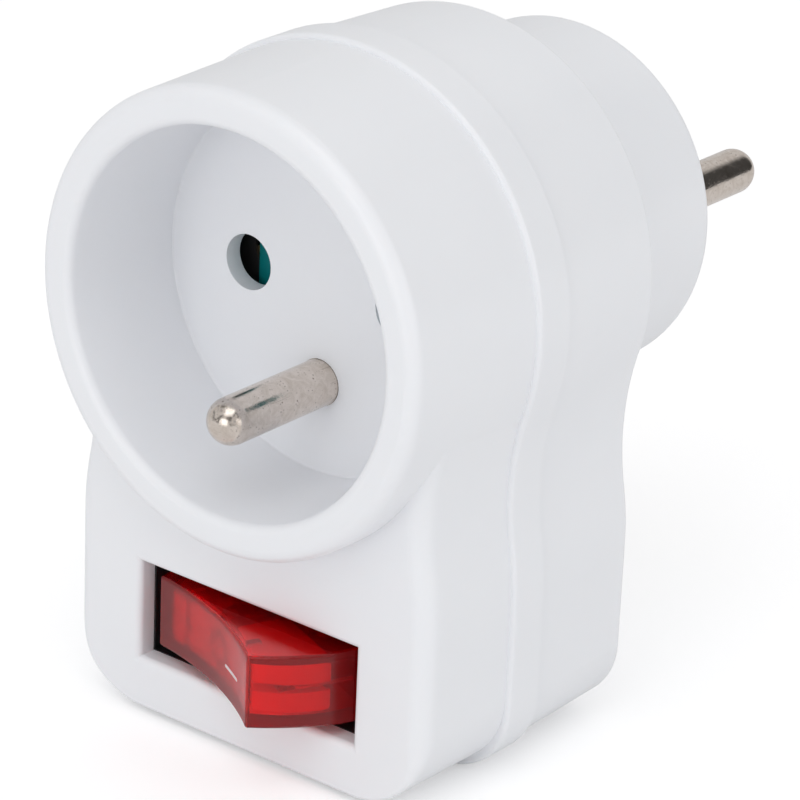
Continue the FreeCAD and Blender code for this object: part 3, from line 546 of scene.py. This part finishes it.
class Finishes:
    """The finishes of this part, by what they cover."""

    CASING = MouldedPlastic("white_casing_plastic", (0.893, 0.904, 0.934), (0.878, 0.890, 0.922),
                            gloss=(0.30, 0.40), glow=0.12)
    CARRIER = MouldedPlastic("black_carrier_plastic", (0.030, 0.030, 0.031),
                             (0.018, 0.018, 0.020), gloss=(0.42, 0.55))
    SHUTTER = MouldedPlastic("dark_green_shutter_plastic", (0.001, 0.205, 0.215),
                             (0.001, 0.165, 0.175))
    FRAME = MouldedPlastic("black_frame_plastic", (0.020, 0.019, 0.020), (0.012, 0.011, 0.012),
                           gloss=(0.30, 0.45))
    LENS = ClearPlastic("clear_red_rocker_plastic")
    GUIDE = MouldedPlastic("red_light_guide_plastic", (0.97, 0.006, 0.014), (0.84, 0.003, 0.009),
                           gloss=(0.25, 0.40), grain=0.6 * MM, depth=0.01 * MM)
    # A darker copy of the light guide's red for the resistor end: painted shade that dims the
    # rocker's front there, not a plastic of its own.
    GUIDE_PAINTED_SHADE = replace(GUIDE, name="light_guide_plastic_painted_shade", colour=(0.44, 0.004, 0.010),
                        shade=(0.38, 0.002, 0.007))
    NICKEL = WorkedMetal("nickelled_pin_metal", (0.745, 0.67, 0.61), (0.58, 0.505, 0.44),
                         (0.12, 0.075, 0.045), gloss=(0.09, 0.22), streak=(2600.0, 90.0, 2600.0),
                         pit_size=0.40 * MM, pit_share=0.28, patch_size=1.1 * MM,
                         score_from=0.655, depth=0.018 * MM)
    BRASS = WorkedMetal("stamped_contact_brass", (0.80, 0.60, 0.30), (0.62, 0.43, 0.19),
                        (0.25, 0.16, 0.07), gloss=(0.25, 0.42), pit_share=0.08)
    SPRING = WorkedMetal("spring_wire_steel", (0.58, 0.58, 0.58), (0.40, 0.40, 0.41),
                         (0.12, 0.11, 0.10), gloss=(0.22, 0.38),
                         streak=(2500.0, 2500.0, 2500.0), pit_share=0.05)
    SCREW = WorkedMetal("zinc_screw_steel", (0.64, 0.66, 0.68), (0.46, 0.48, 0.50),
                        (0.16, 0.15, 0.13), gloss=(0.24, 0.40), streak=(700.0, 700.0, 700.0),
                        pit_share=0.07)
    GLASS = LampGlass("lamp_glass_clear")
    RESISTOR = MouldedPlastic("resistor_lacquer", (0.58, 0.42, 0.24), (0.48, 0.33, 0.18),
                              gloss=(0.25, 0.40), grain=0.2 * MM, depth=0.01 * MM)
    LEAD = WorkedMetal("tinned_lead_wire", (0.74, 0.73, 0.70), (0.52, 0.51, 0.48),
                       (0.2, 0.19, 0.17), gloss=(0.25, 0.42), streak=(2000.0, 2000.0, 2000.0),
                       pit_share=0.05)
    ELECTRODE = WorkedMetal("lamp_electrode_metal", (0.52, 0.50, 0.48), (0.34, 0.32, 0.30),
                            (0.1, 0.1, 0.1), gloss=(0.35, 0.5),
                            streak=(2000.0, 2000.0, 2000.0), pit_share=0.05)
    PRINT = MouldedPlastic("white_print_ink", (0.84, 0.74, 0.75), (0.74, 0.60, 0.62),
                           gloss=(0.45, 0.6), grain=0.1 * MM, depth=0.006 * MM)


def dress(finish: Finish, *nodes: str) -> None:
    """Gives CAD nodes their finish.

    Args:
        finish: The finish they take.
        nodes: The nodes' names.
    """
    for node in nodes:
        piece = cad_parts[node]
        if not piece.material_slots:
            piece.data.materials.append(finish.material())
        for place in piece.material_slots:
            place.material = finish.material()
        LOG.info("%s: %s", node, finish.name)


def tube(name: str, rings: Sequence[Sequence[Vector]], capped: bool = True) -> bpy.types.Mesh:
    """Joins rings of points to a tube.

    Args:
        name: Name of the mesh.
        rings: The rings, each with the same number of points.
        capped: Closes both ends with a face.

    Returns:
        The mesh.
    """
    count = len(rings[0])
    points = [tuple(point) for ring in rings for point in ring]
    last = len(points) - count
    faces = [list(range(count)), list(range(last, len(points)))[::-1]] if capped else []
    for ring in range(0, last, count):
        for k in range(count):
            a, b = ring + k, ring + (k + 1) % count
            faces.append([a, b, b + count, a + count])
    mesh = bpy.data.meshes.new(name)
    mesh.from_pydata(points, [], faces)
    return mesh


def smooth(mesh: bpy.types.Mesh) -> None:
    """Shades all faces smooth."""
    for polygon in mesh.polygons:
        polygon.use_smooth = True


def finished_piece(name: str, mesh: bpy.types.Mesh, finish: Finish, body: Body,
                   replaces: Sequence[str] = ()) -> bpy.types.Object:
    """Makes an object of a mesh and hangs it on its body.

    Args:
        name: The piece's name.
        mesh: Its mesh, in place.
        finish: Its finish.
        body: The body it rides on.
        replaces: CAD nodes it stands for.

    Returns:
        The object.
    """
    clean = bmesh.new()
    clean.from_mesh(mesh)
    bmesh.ops.remove_doubles(clean, verts=clean.verts, dist=WELD)
    bmesh.ops.recalc_face_normals(clean, faces=clean.faces)
    clean.to_mesh(mesh)
    clean.free()
    mesh.materials.clear()
    mesh.materials.append(finish.material())
    mesh.name = name
    piece = bpy.data.objects.new(name, mesh)
    bpy.context.scene.collection.objects.link(piece)
    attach(piece, body.value)
    if replaces:
        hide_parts(*replaces)
    LOG.info("%s: %d faces, rides on %s", name, len(mesh.polygons), body.value)
    return piece


def grow(name: str, tree: NodeTree, values: Mapping[str, Any],
         seats: Iterable[Sequence[float]] = ((0, 0, 0),)) -> bpy.types.Mesh:
    """Runs a geometry tree once and gives its result as a plain mesh.

    Args:
        name: Name of the mesh.
        tree: The geometry tree.
        values: Its inputs by name.
        seats: Points that the tree starts from.

    Returns:
        The mesh.
    """
    base = bpy.data.meshes.new(name)
    base.from_pydata([tuple(seat) for seat in seats], [], [])
    host = bpy.data.objects.new(name, base)
    bpy.context.scene.collection.objects.link(host)
    modifier = host.modifiers.new("grow", "NODES")
    modifier.node_group = tree
    for item in tree.interface.items_tree:
        if item.item_type == "SOCKET" and item.in_out == "INPUT" and item.name in values:
            modifier[item.identifier] = values[item.name]
    seen = host.evaluated_get(bpy.context.evaluated_depsgraph_get())
    mesh = bpy.data.meshes.new_from_object(seen)
    host.modifiers.clear()
    bpy.data.objects.remove(host)
    smooth(mesh)
    return mesh


@dataclass
class CoilSpring:
    """A compression spring that follows a helix, as a geometry tree."""

    name: str
    radius: float
    wire: float
    turns: float
    start: Vector
    end: Vector
    steps: ClassVar[int] = 40
    sides: ClassVar[int] = 14

    @classmethod
    def tree(cls) -> NodeTree:
        """Builds the spring's geometry tree, once for all springs.

        Returns:
            The geometry tree.
        """
        found = bpy.data.node_groups.get("coil spring")
        if found:
            return found
        tree, given, result = new_group(
            "coil spring", "GeometryNodeTree",
            {"Geometry": (SHAPE, None), "Radius": (NUMBER, 0.001), "Wire": (NUMBER, 0.0003),
             "Turns": (NUMBER, 5.0), "Length": (NUMBER, 0.01),
             "Turn": (VECTOR, (0.0, 0.0, 0.0)), "Place": (VECTOR, (0.0, 0.0, 0.0)),
             "Material": (PAINT, None)},
            {"Geometry": SHAPE})
        sizes = given.outputs
        helix = tree.add("GeometryNodeCurveSpiral", {
            "Resolution": cls.steps, "Rotations": sizes["Turns"], "Start Radius": sizes["Radius"],
            "End Radius": sizes["Radius"], "Height": sizes["Length"]})
        section = tree.add("GeometryNodeCurvePrimitiveCircle", {
            "Resolution": cls.sides, "Radius": tree.times(sizes["Wire"], 0.5)})
        wire = tree.add("GeometryNodeCurveToMesh", {
            "Curve": helix.outputs[0], "Profile Curve": section.outputs[0], "Fill Caps": True})
        placed = tree.moved(wire.outputs[0], Translation=sizes["Place"], Rotation=sizes["Turn"])
        return tree.settle(placed, sizes["Material"], result)

    def build(self, body: Body, replaces: str) -> bpy.types.Object:
        """Builds the spring in place of its CAD node.

        Args:
            body: The body it rides on.
            replaces: The CAD node it stands for.

        Returns:
            The spring's object.
        """
        way = self.end - self.start
        margin = way.normalized() * self.wire * 0.5
        turn = Vector((0, 0, 1)).rotation_difference(way).to_euler()
        mesh = grow(self.name, self.tree(), {
            "Radius": self.radius, "Wire": self.wire, "Turns": self.turns,
            "Length": way.length - self.wire, "Turn": tuple(turn),
            "Place": tuple(self.start + margin), "Material": Finishes.SPRING.material()})
        return finished_piece(self.name, mesh, Finishes.SPRING, body, [replaces])


@dataclass
class Casing:
    """The two halves of the casing and the screws that hold them."""

    seats: tuple[Vector, ...] = field(default_factory=lambda: tuple(Vector(seat) * MM for seat in (
        (0.0, -16.0, 10.0), (-17.7, -21.1, -38.6), (17.7, -21.1, -38.6))))
    head_radius: float = 2.35 * MM
    head_height: float = 1.75 * MM
    shank_radius: float = 1.05 * MM
    shank_length: float = 13.8 * MM
    thread_pitch: float = 0.9 * MM
    thread_rise: float = 0.19 * MM
    recess_width: float = 0.62 * MM
    recess_reach: float = 1.45 * MM
    recess_depth: float = 1.1 * MM
    seed: int = 3
    head_sides: ClassVar[int] = 48
    shank_sides: ClassVar[int] = 32
    thread_steps: ClassVar[int] = 24
    ridge_sides: ClassVar[int] = 3
    plain_pitches: ClassVar[float] = 3.0
    sharp_angle: ClassVar[float] = math.radians(35)

    def measures(self) -> dict[str, float]:
        """Gathers the lengths of a screw.

        Returns:
            The lengths by input name.
        """
        return {"Head Radius": self.head_radius, "Head Height": self.head_height,
                "Shank Radius": self.shank_radius, "Shank Length": self.shank_length,
                "Thread Pitch": self.thread_pitch, "Thread Rise": self.thread_rise,
                "Recess Width": self.recess_width, "Recess Reach": self.recess_reach,
                "Recess Depth": self.recess_depth}

    def head(self, tree: Tree, sizes: Mapping[str, Socket]) -> Socket:
        """Turns the domed head and cuts its cross recess.

        Args:
            tree: The screw's geometry tree.
            sizes: Its input sockets by name.

        Returns:
            The head's socket.
        """
        block = 0.1
        ball = tree.add("GeometryNodeMeshUVSphere", {
            "Segments": self.head_sides, "Rings": self.head_sides // 2, "Radius": 1.0})
        dome = tree.moved(ball.outputs[0], Scale=tree.vector(
            sizes["Head Radius"], sizes["Head Radius"], sizes["Head Height"]))
        below = tree.add("GeometryNodeMeshCube", {"Size": (block, block, block)})
        cuts = [tree.moved(below.outputs[0], Translation=(0.0, 0.0, -block / 2))]
        long, short = tree.times(sizes["Recess Reach"], 2.0), sizes["Recess Width"]
        deep = tree.times(sizes["Recess Depth"], 2.0)
        for length, width in ((long, short), (short, long)):
            bar = tree.add("GeometryNodeMeshCube", {"Size": tree.vector(length, width, deep)})
            cuts.append(tree.moved(bar.outputs[0],
                                   Translation=tree.vector(0.0, 0.0, sizes["Head Height"])))
        left = dome
        for cut in cuts:
            left = tree.add("GeometryNodeMeshBoolean", {0: left, 1: cut},
                            operation="DIFFERENCE", solver="EXACT").outputs[0]
        return left

    def shank(self, tree: Tree, sizes: Mapping[str, Socket]) -> Socket:
        """Turns the plain shank below the head.

        Args:
            tree: The screw's geometry tree.
            sizes: Its input sockets by name.

        Returns:
            The shank's socket.
        """
        bar = tree.add("GeometryNodeMeshCylinder", {
            "Vertices": self.shank_sides, "Side Segments": 1, "Fill Segments": 1,
            "Radius": sizes["Shank Radius"], "Depth": sizes["Shank Length"]})
        middle = tree.times(sizes["Shank Length"], -0.5)
        return tree.moved(bar.outputs[0], Translation=tree.vector(0.0, 0.0, middle))

    def thread(self, tree: Tree, sizes: Mapping[str, Socket]) -> Socket:
        """Winds the thread's ridge round the shank.

        Args:
            tree: The screw's geometry tree.
            sizes: Its input sockets by name.

        Returns:
            The thread's socket.
        """
        pitch, length = sizes["Thread Pitch"], sizes["Shank Length"]
        run = tree.math("SUBTRACT", length, tree.times(pitch, self.plain_pitches))
        helix = tree.add("GeometryNodeCurveSpiral", {
            "Resolution": self.thread_steps, "Rotations": tree.math("DIVIDE", run, pitch),
            "Start Radius": sizes["Shank Radius"], "End Radius": sizes["Shank Radius"],
            "Height": run})
        ridge = tree.add("GeometryNodeCurvePrimitiveCircle", {
            "Resolution": self.ridge_sides, "Radius": sizes["Thread Rise"]})
        wound = tree.add("GeometryNodeCurveToMesh", {
            "Curve": helix.outputs[0], "Profile Curve": ridge.outputs[0], "Fill Caps": True})
        foot = tree.math("SUBTRACT", pitch, length)
        return tree.moved(wound.outputs[0], Translation=tree.vector(0.0, 0.0, foot))

    def screw_tree(self) -> NodeTree:
        """Builds the geometry tree of the screws: one screw, set on each seat at its own turn.

        Returns:
            The geometry tree.
        """
        tree, given, result = new_group(
            "case screw", "GeometryNodeTree",
            {"Geometry": (SHAPE, None),
             **{name: (NUMBER, size) for name, size in self.measures().items()},
             "Seed": (WHOLE, self.seed), "Material": (PAINT, None)},
            {"Geometry": SHAPE})
        sizes = given.outputs
        screw = tree.add("GeometryNodeJoinGeometry")
        for part in (self.thread, self.shank, self.head):
            tree.feed(screw, {0: part(tree, sizes)})
        low, high, number = 2, 3, 1
        spin = tree.add("FunctionNodeRandomValue", {low: 0.0, high: math.tau,
                                                    "Seed": sizes["Seed"]}, data_type="FLOAT")
        placed = tree.add("GeometryNodeInstanceOnPoints", {
            "Points": sizes["Geometry"], "Instance": screw.outputs[0],
            "Rotation": tree.vector(-math.pi / 2, spin.outputs[number], 0.0)})
        return tree.settle(placed.outputs[0], sizes["Material"], result)

    def build(self) -> None:
        """Dresses both halves and makes the screws."""
        dress(Finishes.CASING, "front_shell", "rear_shell")
        name = "case_screws_turned"
        mesh = grow(name, self.screw_tree(), {
            **self.measures(), "Seed": self.seed, "Material": Finishes.SCREW.material()},
            self.seats)
        piece = finished_piece(name, mesh, Finishes.SCREW, Body.CASING,
                               ["case_screws"])
        piece.data.set_sharp_from_angle(angle=self.sharp_angle)


@dataclass
class OutletCup:
    """What shows and works in the round outlet: earth pin, carrier, shutter and its spring."""

    spring_radius: float = 0.75 * MM
    spring_wire: float = 0.3 * MM
    spring_turns: float = 7.0
    spring_start: Vector = field(default_factory=lambda: Vector((-5.25, -36.2, 0.0)) * MM)
    spring_end: Vector = field(default_factory=lambda: Vector((3.25, -36.2, 0.0)) * MM)
    travel: float = 5.9 * MM

    def build(self) -> None:
        """Dresses the cup's metal and plastic and winds the shutter's spring."""
        dress(Finishes.NICKEL, "earth_pin")
        dress(Finishes.CARRIER, "contact_carrier")
        dress(Finishes.SHUTTER, "shutter")
        dress(Finishes.BRASS, "neutral_contact", "line_contact", "earth_sleeve")
        spring = CoilSpring("shutter_spring_wound", self.spring_radius, self.spring_wire,
                            self.spring_turns, self.spring_start, self.spring_end)
        piece = spring.build(Body.CASING, "shutter_spring")
        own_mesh(piece)


class PlugSide:
    """Pins and straps on the wall side."""

    @staticmethod
    def build() -> None:
        """Dresses pins and straps."""
        dress(Finishes.NICKEL, "neutral_pin", "line_pin")
        dress(Finishes.BRASS, "line_strap", "out_strap")


@dataclass
class RockerSwitch:
    """The rocker with its mark, light guides and lamp, and the contact works behind it."""

    ridge_half: float = 9.8 * MM
    ridge_rise: float = 8.46 * MM
    hollow: float = 1.26 * MM
    mark_from: float = 2.9 * MM
    mark_to: float = 6.45 * MM
    mark_up: float = 0.4 * MM
    mark_width: float = 0.34 * MM
    mark_rise: float = 0.02 * MM
    mark_steps: int = 24
    mark_end_share: float = 0.25
    lamp_from: float = 3.0 * MM
    lamp_depth: float = 3.2 * MM
    pinch: float = 0.4 * MM
    electrode_off: float = 0.5 * MM
    electrode_sides: int = 20
    spring_radius: float = 0.9 * MM
    spring_wire: float = 0.25 * MM
    spring_turns: float = 6.0
    spring_start: float = 0.45 * MM
    spring_end: float = 5.85 * MM
    plunger_travel: float = 0.6 * MM
    guide_low: float = 0.2 * MM
    guide_gap: float = 0.9 * MM
    guide_width: float = 5.15 * MM
    guide_bore: float = 1.74 * MM
    guide_bore_end: float = 9.8 * MM
    guide_bore_steps: int = 12
    guide_round: float = 0.3 * MM
    guide_corner: float = 0.3
    guide_least: float = 2.5
    guide_chamfer: float = 0.1 * MM
    guide_sharp: float = math.radians(30)
    # Radius and reach of an electrode, in millimetres from the pinch of the lamp's glass.
    electrode_profile: ClassVar[list[Range]] = [
        (0.0, 0.0), (0.10, 0.0), (0.10, 1.2), (0.16, 1.35), (0.26, 1.45), (0.26, 4.2),
        (0.23, 4.36), (0.14, 4.47), (0.0, 4.5)]
    # End of the rocker and start of its light guide, in millimetres off the middle.
    guide_starts: ClassVar[dict[str, tuple[int, float]]] = {"lamp": (1, 2.6),
                                                            "resistor": (-1, 3.6)}
    # Distance from the rocker's middle (from the start for the root) and height of a light
    # guide's crest, in millimetres, out to the rocker's end. Only the lamp's side is notched.
    guide_root: ClassVar[list[Range]] = [(0.0, 5.95), (0.9, 6.08)]
    guide_near: ClassVar[list[Range]] = [(5.0, 6.28), (5.6, 6.38)]
    guide_notch: ClassVar[list[Range]] = [(5.62, 5.05), (6.78, 5.05)]
    guide_far: ClassVar[list[Range]] = [
        (6.8, 6.6), (7.3, 6.78), (7.8, 6.95), (8.2, 7.05), (8.45, 6.9), (8.9, 6.42), (9.4, 5.8),
        (9.79, 5.3), (9.81, 5.27), (10.2, 4.68), (10.5, 4.05), (10.8, 3.2), (11.0, 2.4),
        (11.15, 1.4)]

    def place(self, along: float, front: float, up: float) -> Vector:
        """Point of the rocker's own frame in the part's frame.

        Args:
            along: Distance along the face.
            front: Distance towards the front.
            up: Distance from the middle plane towards the part's lower side.

        Returns:
            The point in metres.
        """
        turned = Vector((along, -front, -up))
        turned.rotate(Euler((0.0, 0.0, -ROCKER_TILT)))
        return ROCKER_PIVOT + turned

    def face_rise(self, along: float) -> float:
        """Height of the hollow front face.

        Args:
            along: Distance along the face.

        Returns:
            Distance from the pivot to the face.
        """
        radius = (self.ridge_half ** 2 + self.hollow ** 2) / (2 * self.hollow)
        return self.ridge_rise - self.hollow + radius - math.sqrt(radius ** 2 - along ** 2)

    def mark(self) -> None:
        """Prints the short stroke that shows the on side, bent to the face."""
        rows: list[list[Vector]] = []
        length, steps = self.mark_to - self.mark_from, self.mark_steps
        for i in range(steps + 1):
            along = self.mark_from + length * i / steps
            from_end = min(i, steps - i) / steps * length
            half = self.mark_width / 2
            if from_end < half:
                round_end = math.sqrt(max(0.0, half ** 2 - (half - from_end) ** 2))
                half = max(self.mark_end_share * half, round_end)
            base = self.face_rise(along)
            rows.append([self.place(along, base + rise, self.mark_up + side * half)
                         for side, rise in ((-1, -self.mark_rise), (1, -self.mark_rise),
                                            (1, self.mark_rise), (-1, self.mark_rise))])
        name = "rocker_mark_print"
        finished_piece(name, tube(name, rows), Finishes.PRINT, Body.ROCKER)

    def electrode(self, name: str, up: float) -> None:
        """Turns one lamp electrode: wire from the pinch, a collar and a rod with a round end.

        Args:
            name: The piece's name.
            up: Its height off the lamp's middle.
        """
        angles = [math.tau * k / self.electrode_sides for k in range(self.electrode_sides)]
        rings = [[self.place(self.lamp_from + self.pinch + reach * MM,
                             self.lamp_depth + radius * MM * math.cos(angle),
                             up + radius * MM * math.sin(angle)) for angle in angles]
                 for radius, reach in self.electrode_profile]
        mesh = tube(name, rings, capped=False)
        smooth(mesh)
        finished_piece(name, mesh, Finishes.ELECTRODE, Body.ROCKER)

    def guide_section(self, along: float, crest: float) -> list[Range]:
        """Cross-section of one light guide, hollowed where the lamp lies in it.

        Args:
            along: Distance along the rocker.
            crest: Height of the guide's front edge there.

        Returns:
            Points as height and distance from the rocker's middle plane.
        """
        inner, outer = self.guide_gap / 2, self.guide_width / 2
        soft, edge = self.guide_round, self.guide_chamfer
        corner = self.guide_corner * soft
        bore = self.guide_bore if along <= self.guide_bore_end else 0.0
        reach = math.sqrt(max(0.0, bore ** 2 - inner ** 2))
        crest = max(crest, self.guide_low + self.guide_least * soft)
        points = [(self.guide_low, inner)]
        for k in range(self.guide_bore_steps + 1):
            angle = math.pi * (1.0 - k / self.guide_bore_steps)
            height = self.lamp_depth + reach * math.cos(angle)
            rise = math.sqrt(max(0.0, bore ** 2 - (height - self.lamp_depth) ** 2))
            points.append((min(height, crest - soft), max(inner, rise)))
        return points + [(crest - edge, inner), (crest, inner + edge), (crest, outer - soft),
                         (crest - corner, outer - corner), (crest - soft, outer),
                         (self.guide_low + soft, outer), (self.guide_low, outer - soft)]

    def light_guide(self, name: str, end: int, half: int, start: float) -> None:
        """Moulds one half of a light guide that fills an end of the rocker round the lamp.

        Args:
            name: The piece's name.
            end: 1 for the lamp's end of the rocker, -1 for the other.
            half: 1 for the lower half, -1 for the upper one.
            start: Where it starts along the rocker, in millimetres off the middle.
        """
        stations = [(start + off, crest) for off, crest in self.guide_root] + self.guide_near
        stations += (self.guide_notch if end > 0 else []) + self.guide_far
        rings = [[self.place(end * along * MM, height, half * off)
                  for height, off in self.guide_section(along * MM, crest * MM)]
                 for along, crest in stations]
        # The resistor end takes the darker copy of the guide's red, painted shade on that end of
        # the rocker.
        finish = Finishes.GUIDE if end > 0 else Finishes.GUIDE_PAINTED_SHADE
        piece = finished_piece(name, tube(name, rings), finish, Body.ROCKER)
        smooth(piece.data)
        piece.data.set_sharp_from_angle(angle=self.guide_sharp)

    def build(self) -> None:
        """Dresses the switch and adds its mark, light guides, electrodes and plunger spring."""
        dress(Finishes.LENS, "rocker")
        dress(Finishes.FRAME, "switch_frame")
        dress(Finishes.BRASS, "plunger", "contact_lever", "lever_terminal", "fixed_contact")
        dress(Finishes.GLASS, "neon_lamp")
        dress(Finishes.RESISTOR, "lamp_resistor")
        dress(Finishes.LEAD, "lamp_leads")
        self.mark()
        for side, (end, start) in self.guide_starts.items():
            for half, level in ((1, "low"), (-1, "high")):
                self.light_guide(f"light_guide_{side}_{level}", end, half, start)
        self.electrode("lamp_electrode_low", self.electrode_off)
        self.electrode("lamp_electrode_high", -self.electrode_off)
        start, end = self.place(0, self.spring_start, 0), self.place(0, self.spring_end, 0)
        spring = CoilSpring("plunger_spring_wound", self.spring_radius, self.spring_wire,
                            self.spring_turns, start, end)
        piece = spring.build(Body.ROCKER, "plunger_spring")
        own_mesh(piece)


@dataclass(frozen=True)
class Softbox:
    """A square soft lamp: where it hangs in metres, its power in watts and its side."""

    name: str
    place: tuple[float, float, float]
    power: float
    size: float = 0.8

    def hang(self, target: Vector) -> None:
        """Adds the lamp and turns it.

        Args:
            target: The point it shines at.
        """
        data = bpy.data.lights.new(self.name, "AREA")
        data.energy, data.size = self.power, self.size
        piece = bpy.data.objects.new(self.name, data)
        bpy.context.scene.collection.objects.link(piece)
        piece.location = Vector(self.place)
        piece.rotation_euler = (target - piece.location).to_track_quat("-Z", "Y").to_euler()


@dataclass
class Studio:
    """Pale floor, soft light and the camera."""

    floor_rise: float
    floor_size: float = 6.0
    floor_colour: Colour = (0.9, 0.9, 0.905)
    floor_glow: float = 0.30
    light: float = 0.68
    backdrop: float = 0.06
    backdrop_from: tuple[Range, Range] = ((0.4, 0.7), (-0.1, 0.25))
    gap_light: float = 0.25
    gap_scale: float = 2.4
    gap_span: Range = (0.46, 0.53)
    gap_ahead: Range = (0.0, 0.35)
    lamps: tuple[Softbox, ...] = (Softbox("key", (0.22, -0.55, 1.00), 2.1),
                                  Softbox("front", (0.10, -1.20, 0.12), 2.5),
                                  Softbox("side", (1.20, -0.05, 0.25), 1.45))
    azimuth: float = math.radians(37.968)
    elevation: float = math.radians(23.229)
    roll: float = math.radians(2.51)
    target: Vector = field(default_factory=lambda: Vector((6.21, -34.4, -11.57)) * MM)
    distance: float = 392.089 * MM
    focal_pixels: float = 3997.413
    frame_pixels: float = 800.0
    sensor: float = 36.0
    nearest: float = 0.01

    @staticmethod
    def empty_tree(owner: bpy.types.Material | bpy.types.World) -> tuple[Tree, Node, Socket]:
        """Empties a material's or world's tree.

        Args:
            owner: The material or world.

        Returns:
            Its tree, its light path node and a mask of the rays that reach the camera straight
            or through clear plastic.
        """
        owner.use_nodes = True
        owner.node_tree.nodes.clear()
        tree = Tree(owner.node_tree)
        rays = tree.add("ShaderNodeLightPath")
        return tree, rays, tree.math("MAXIMUM", rays.outputs["Is Camera Ray"],
                                     rays.outputs["Is Transmission Ray"])

    def floor(self) -> None:
        """Lays the floor, white to the camera and keeping the part's soft shadow."""
        half, rise = self.floor_size / 2, self.floor_rise
        mesh = bpy.data.meshes.new("floor")
        mesh.from_pydata([(-half, -half, rise), (half, -half, rise), (half, half, rise),
                          (-half, half, rise)], [], [(0, 1, 2, 3)])
        material = bpy.data.materials.new("pale_floor")
        tree, _, seen = self.empty_tree(material)
        paint = tree.add("ShaderNodeBsdfDiffuse", {"Color": (*self.floor_colour, 1.0)})
        white = tree.add("ShaderNodeEmission", {"Strength": tree.times(seen, self.floor_glow)})
        both = tree.add("ShaderNodeAddShader", {0: paint.outputs[0], 1: white.outputs[0]})
        tree.add("ShaderNodeOutputMaterial", {"Surface": both.outputs[0]})
        mesh.materials.append(material)
        ground = bpy.data.objects.new("floor", mesh)
        bpy.context.scene.collection.objects.link(ground)

    def surroundings(self) -> None:
        """Lights the part from all round, white to the camera, with dark gaps for its metal."""
        world = bpy.data.worlds.new("studio")
        bpy.context.scene.world = world
        tree, rays, seen = self.empty_tree(world)
        sky = tree.add("ShaderNodeTexCoord").outputs["Generated"]
        way = tree.add("ShaderNodeSeparateXYZ", {0: sky})
        rear, right = (tree.ramp(way.outputs[axis], span, smooth=True)
                       for axis, span in zip("YX", self.backdrop_from))
        behind = tree.ramp(tree.times(rear, right), (0.0, 1.0), (self.light, self.backdrop))
        panels = tree.noise(sky, self.gap_scale, detail=2.0)
        gaps = tree.ramp(panels, self.gap_span, (self.gap_light, 1.0), smooth=True)
        ahead = tree.ramp(way.outputs["Y"], self.gap_ahead, (gaps, 1.0))
        mirrored = tree.ramp(rays.outputs["Is Glossy Ray"], (0.0, 1.0),
                             (self.light, tree.times(behind, ahead)))
        strength = tree.ramp(seen, (0.0, 1.0), (mirrored, 1.0))
        glow = tree.add("ShaderNodeBackground", {"Color": (1.0, 1.0, 1.0, 1.0),
                                                 "Strength": strength})
        tree.add("ShaderNodeOutputWorld", {"Surface": glow.outputs[0]})

    def camera(self) -> None:
        """Sets the camera where the photograph was taken from."""
        flat = math.cos(self.elevation)
        back = Vector((math.sin(self.azimuth) * flat, -math.cos(self.azimuth) * flat,
                       math.sin(self.elevation)))
        side = Vector((math.cos(self.azimuth), math.sin(self.azimuth), 0.0))
        rise = back.cross(side)
        across = math.cos(self.roll) * side + math.sin(self.roll) * rise
        upward = math.cos(self.roll) * rise - math.sin(self.roll) * side
        data = bpy.data.cameras.new("camera")
        data.sensor_width = self.sensor
        data.lens = self.focal_pixels * self.sensor / self.frame_pixels
        data.clip_start = self.nearest
        piece = bpy.data.objects.new("camera", data)
        bpy.context.scene.collection.objects.link(piece)
        turned = Matrix((across, upward, back)).transposed().to_4x4()
        piece.matrix_world = Matrix.Translation(self.target + back * self.distance) @ turned
        bpy.context.scene.camera = piece

    def build(self) -> None:
        """Sets up floor, light and camera."""
        self.floor()
        self.surroundings()
        for lamp in self.lamps:
            lamp.hang(self.target)
        self.camera()
        bpy.context.scene.view_settings.view_transform = "Standard"
        LOG.info("studio ready")


def main() -> None:
    """Builds the part's sub-assemblies in order, then the studio."""
    logging.basicConfig(level=logging.INFO, format="%(name)s %(message)s")
    Casing().build()
    OutletCup().build()
    PlugSide.build()
    RockerSwitch().build()
    Studio(floor_rise=START_BOUNDS[0][2]).build()


if __name__ == "__main__":
    main()
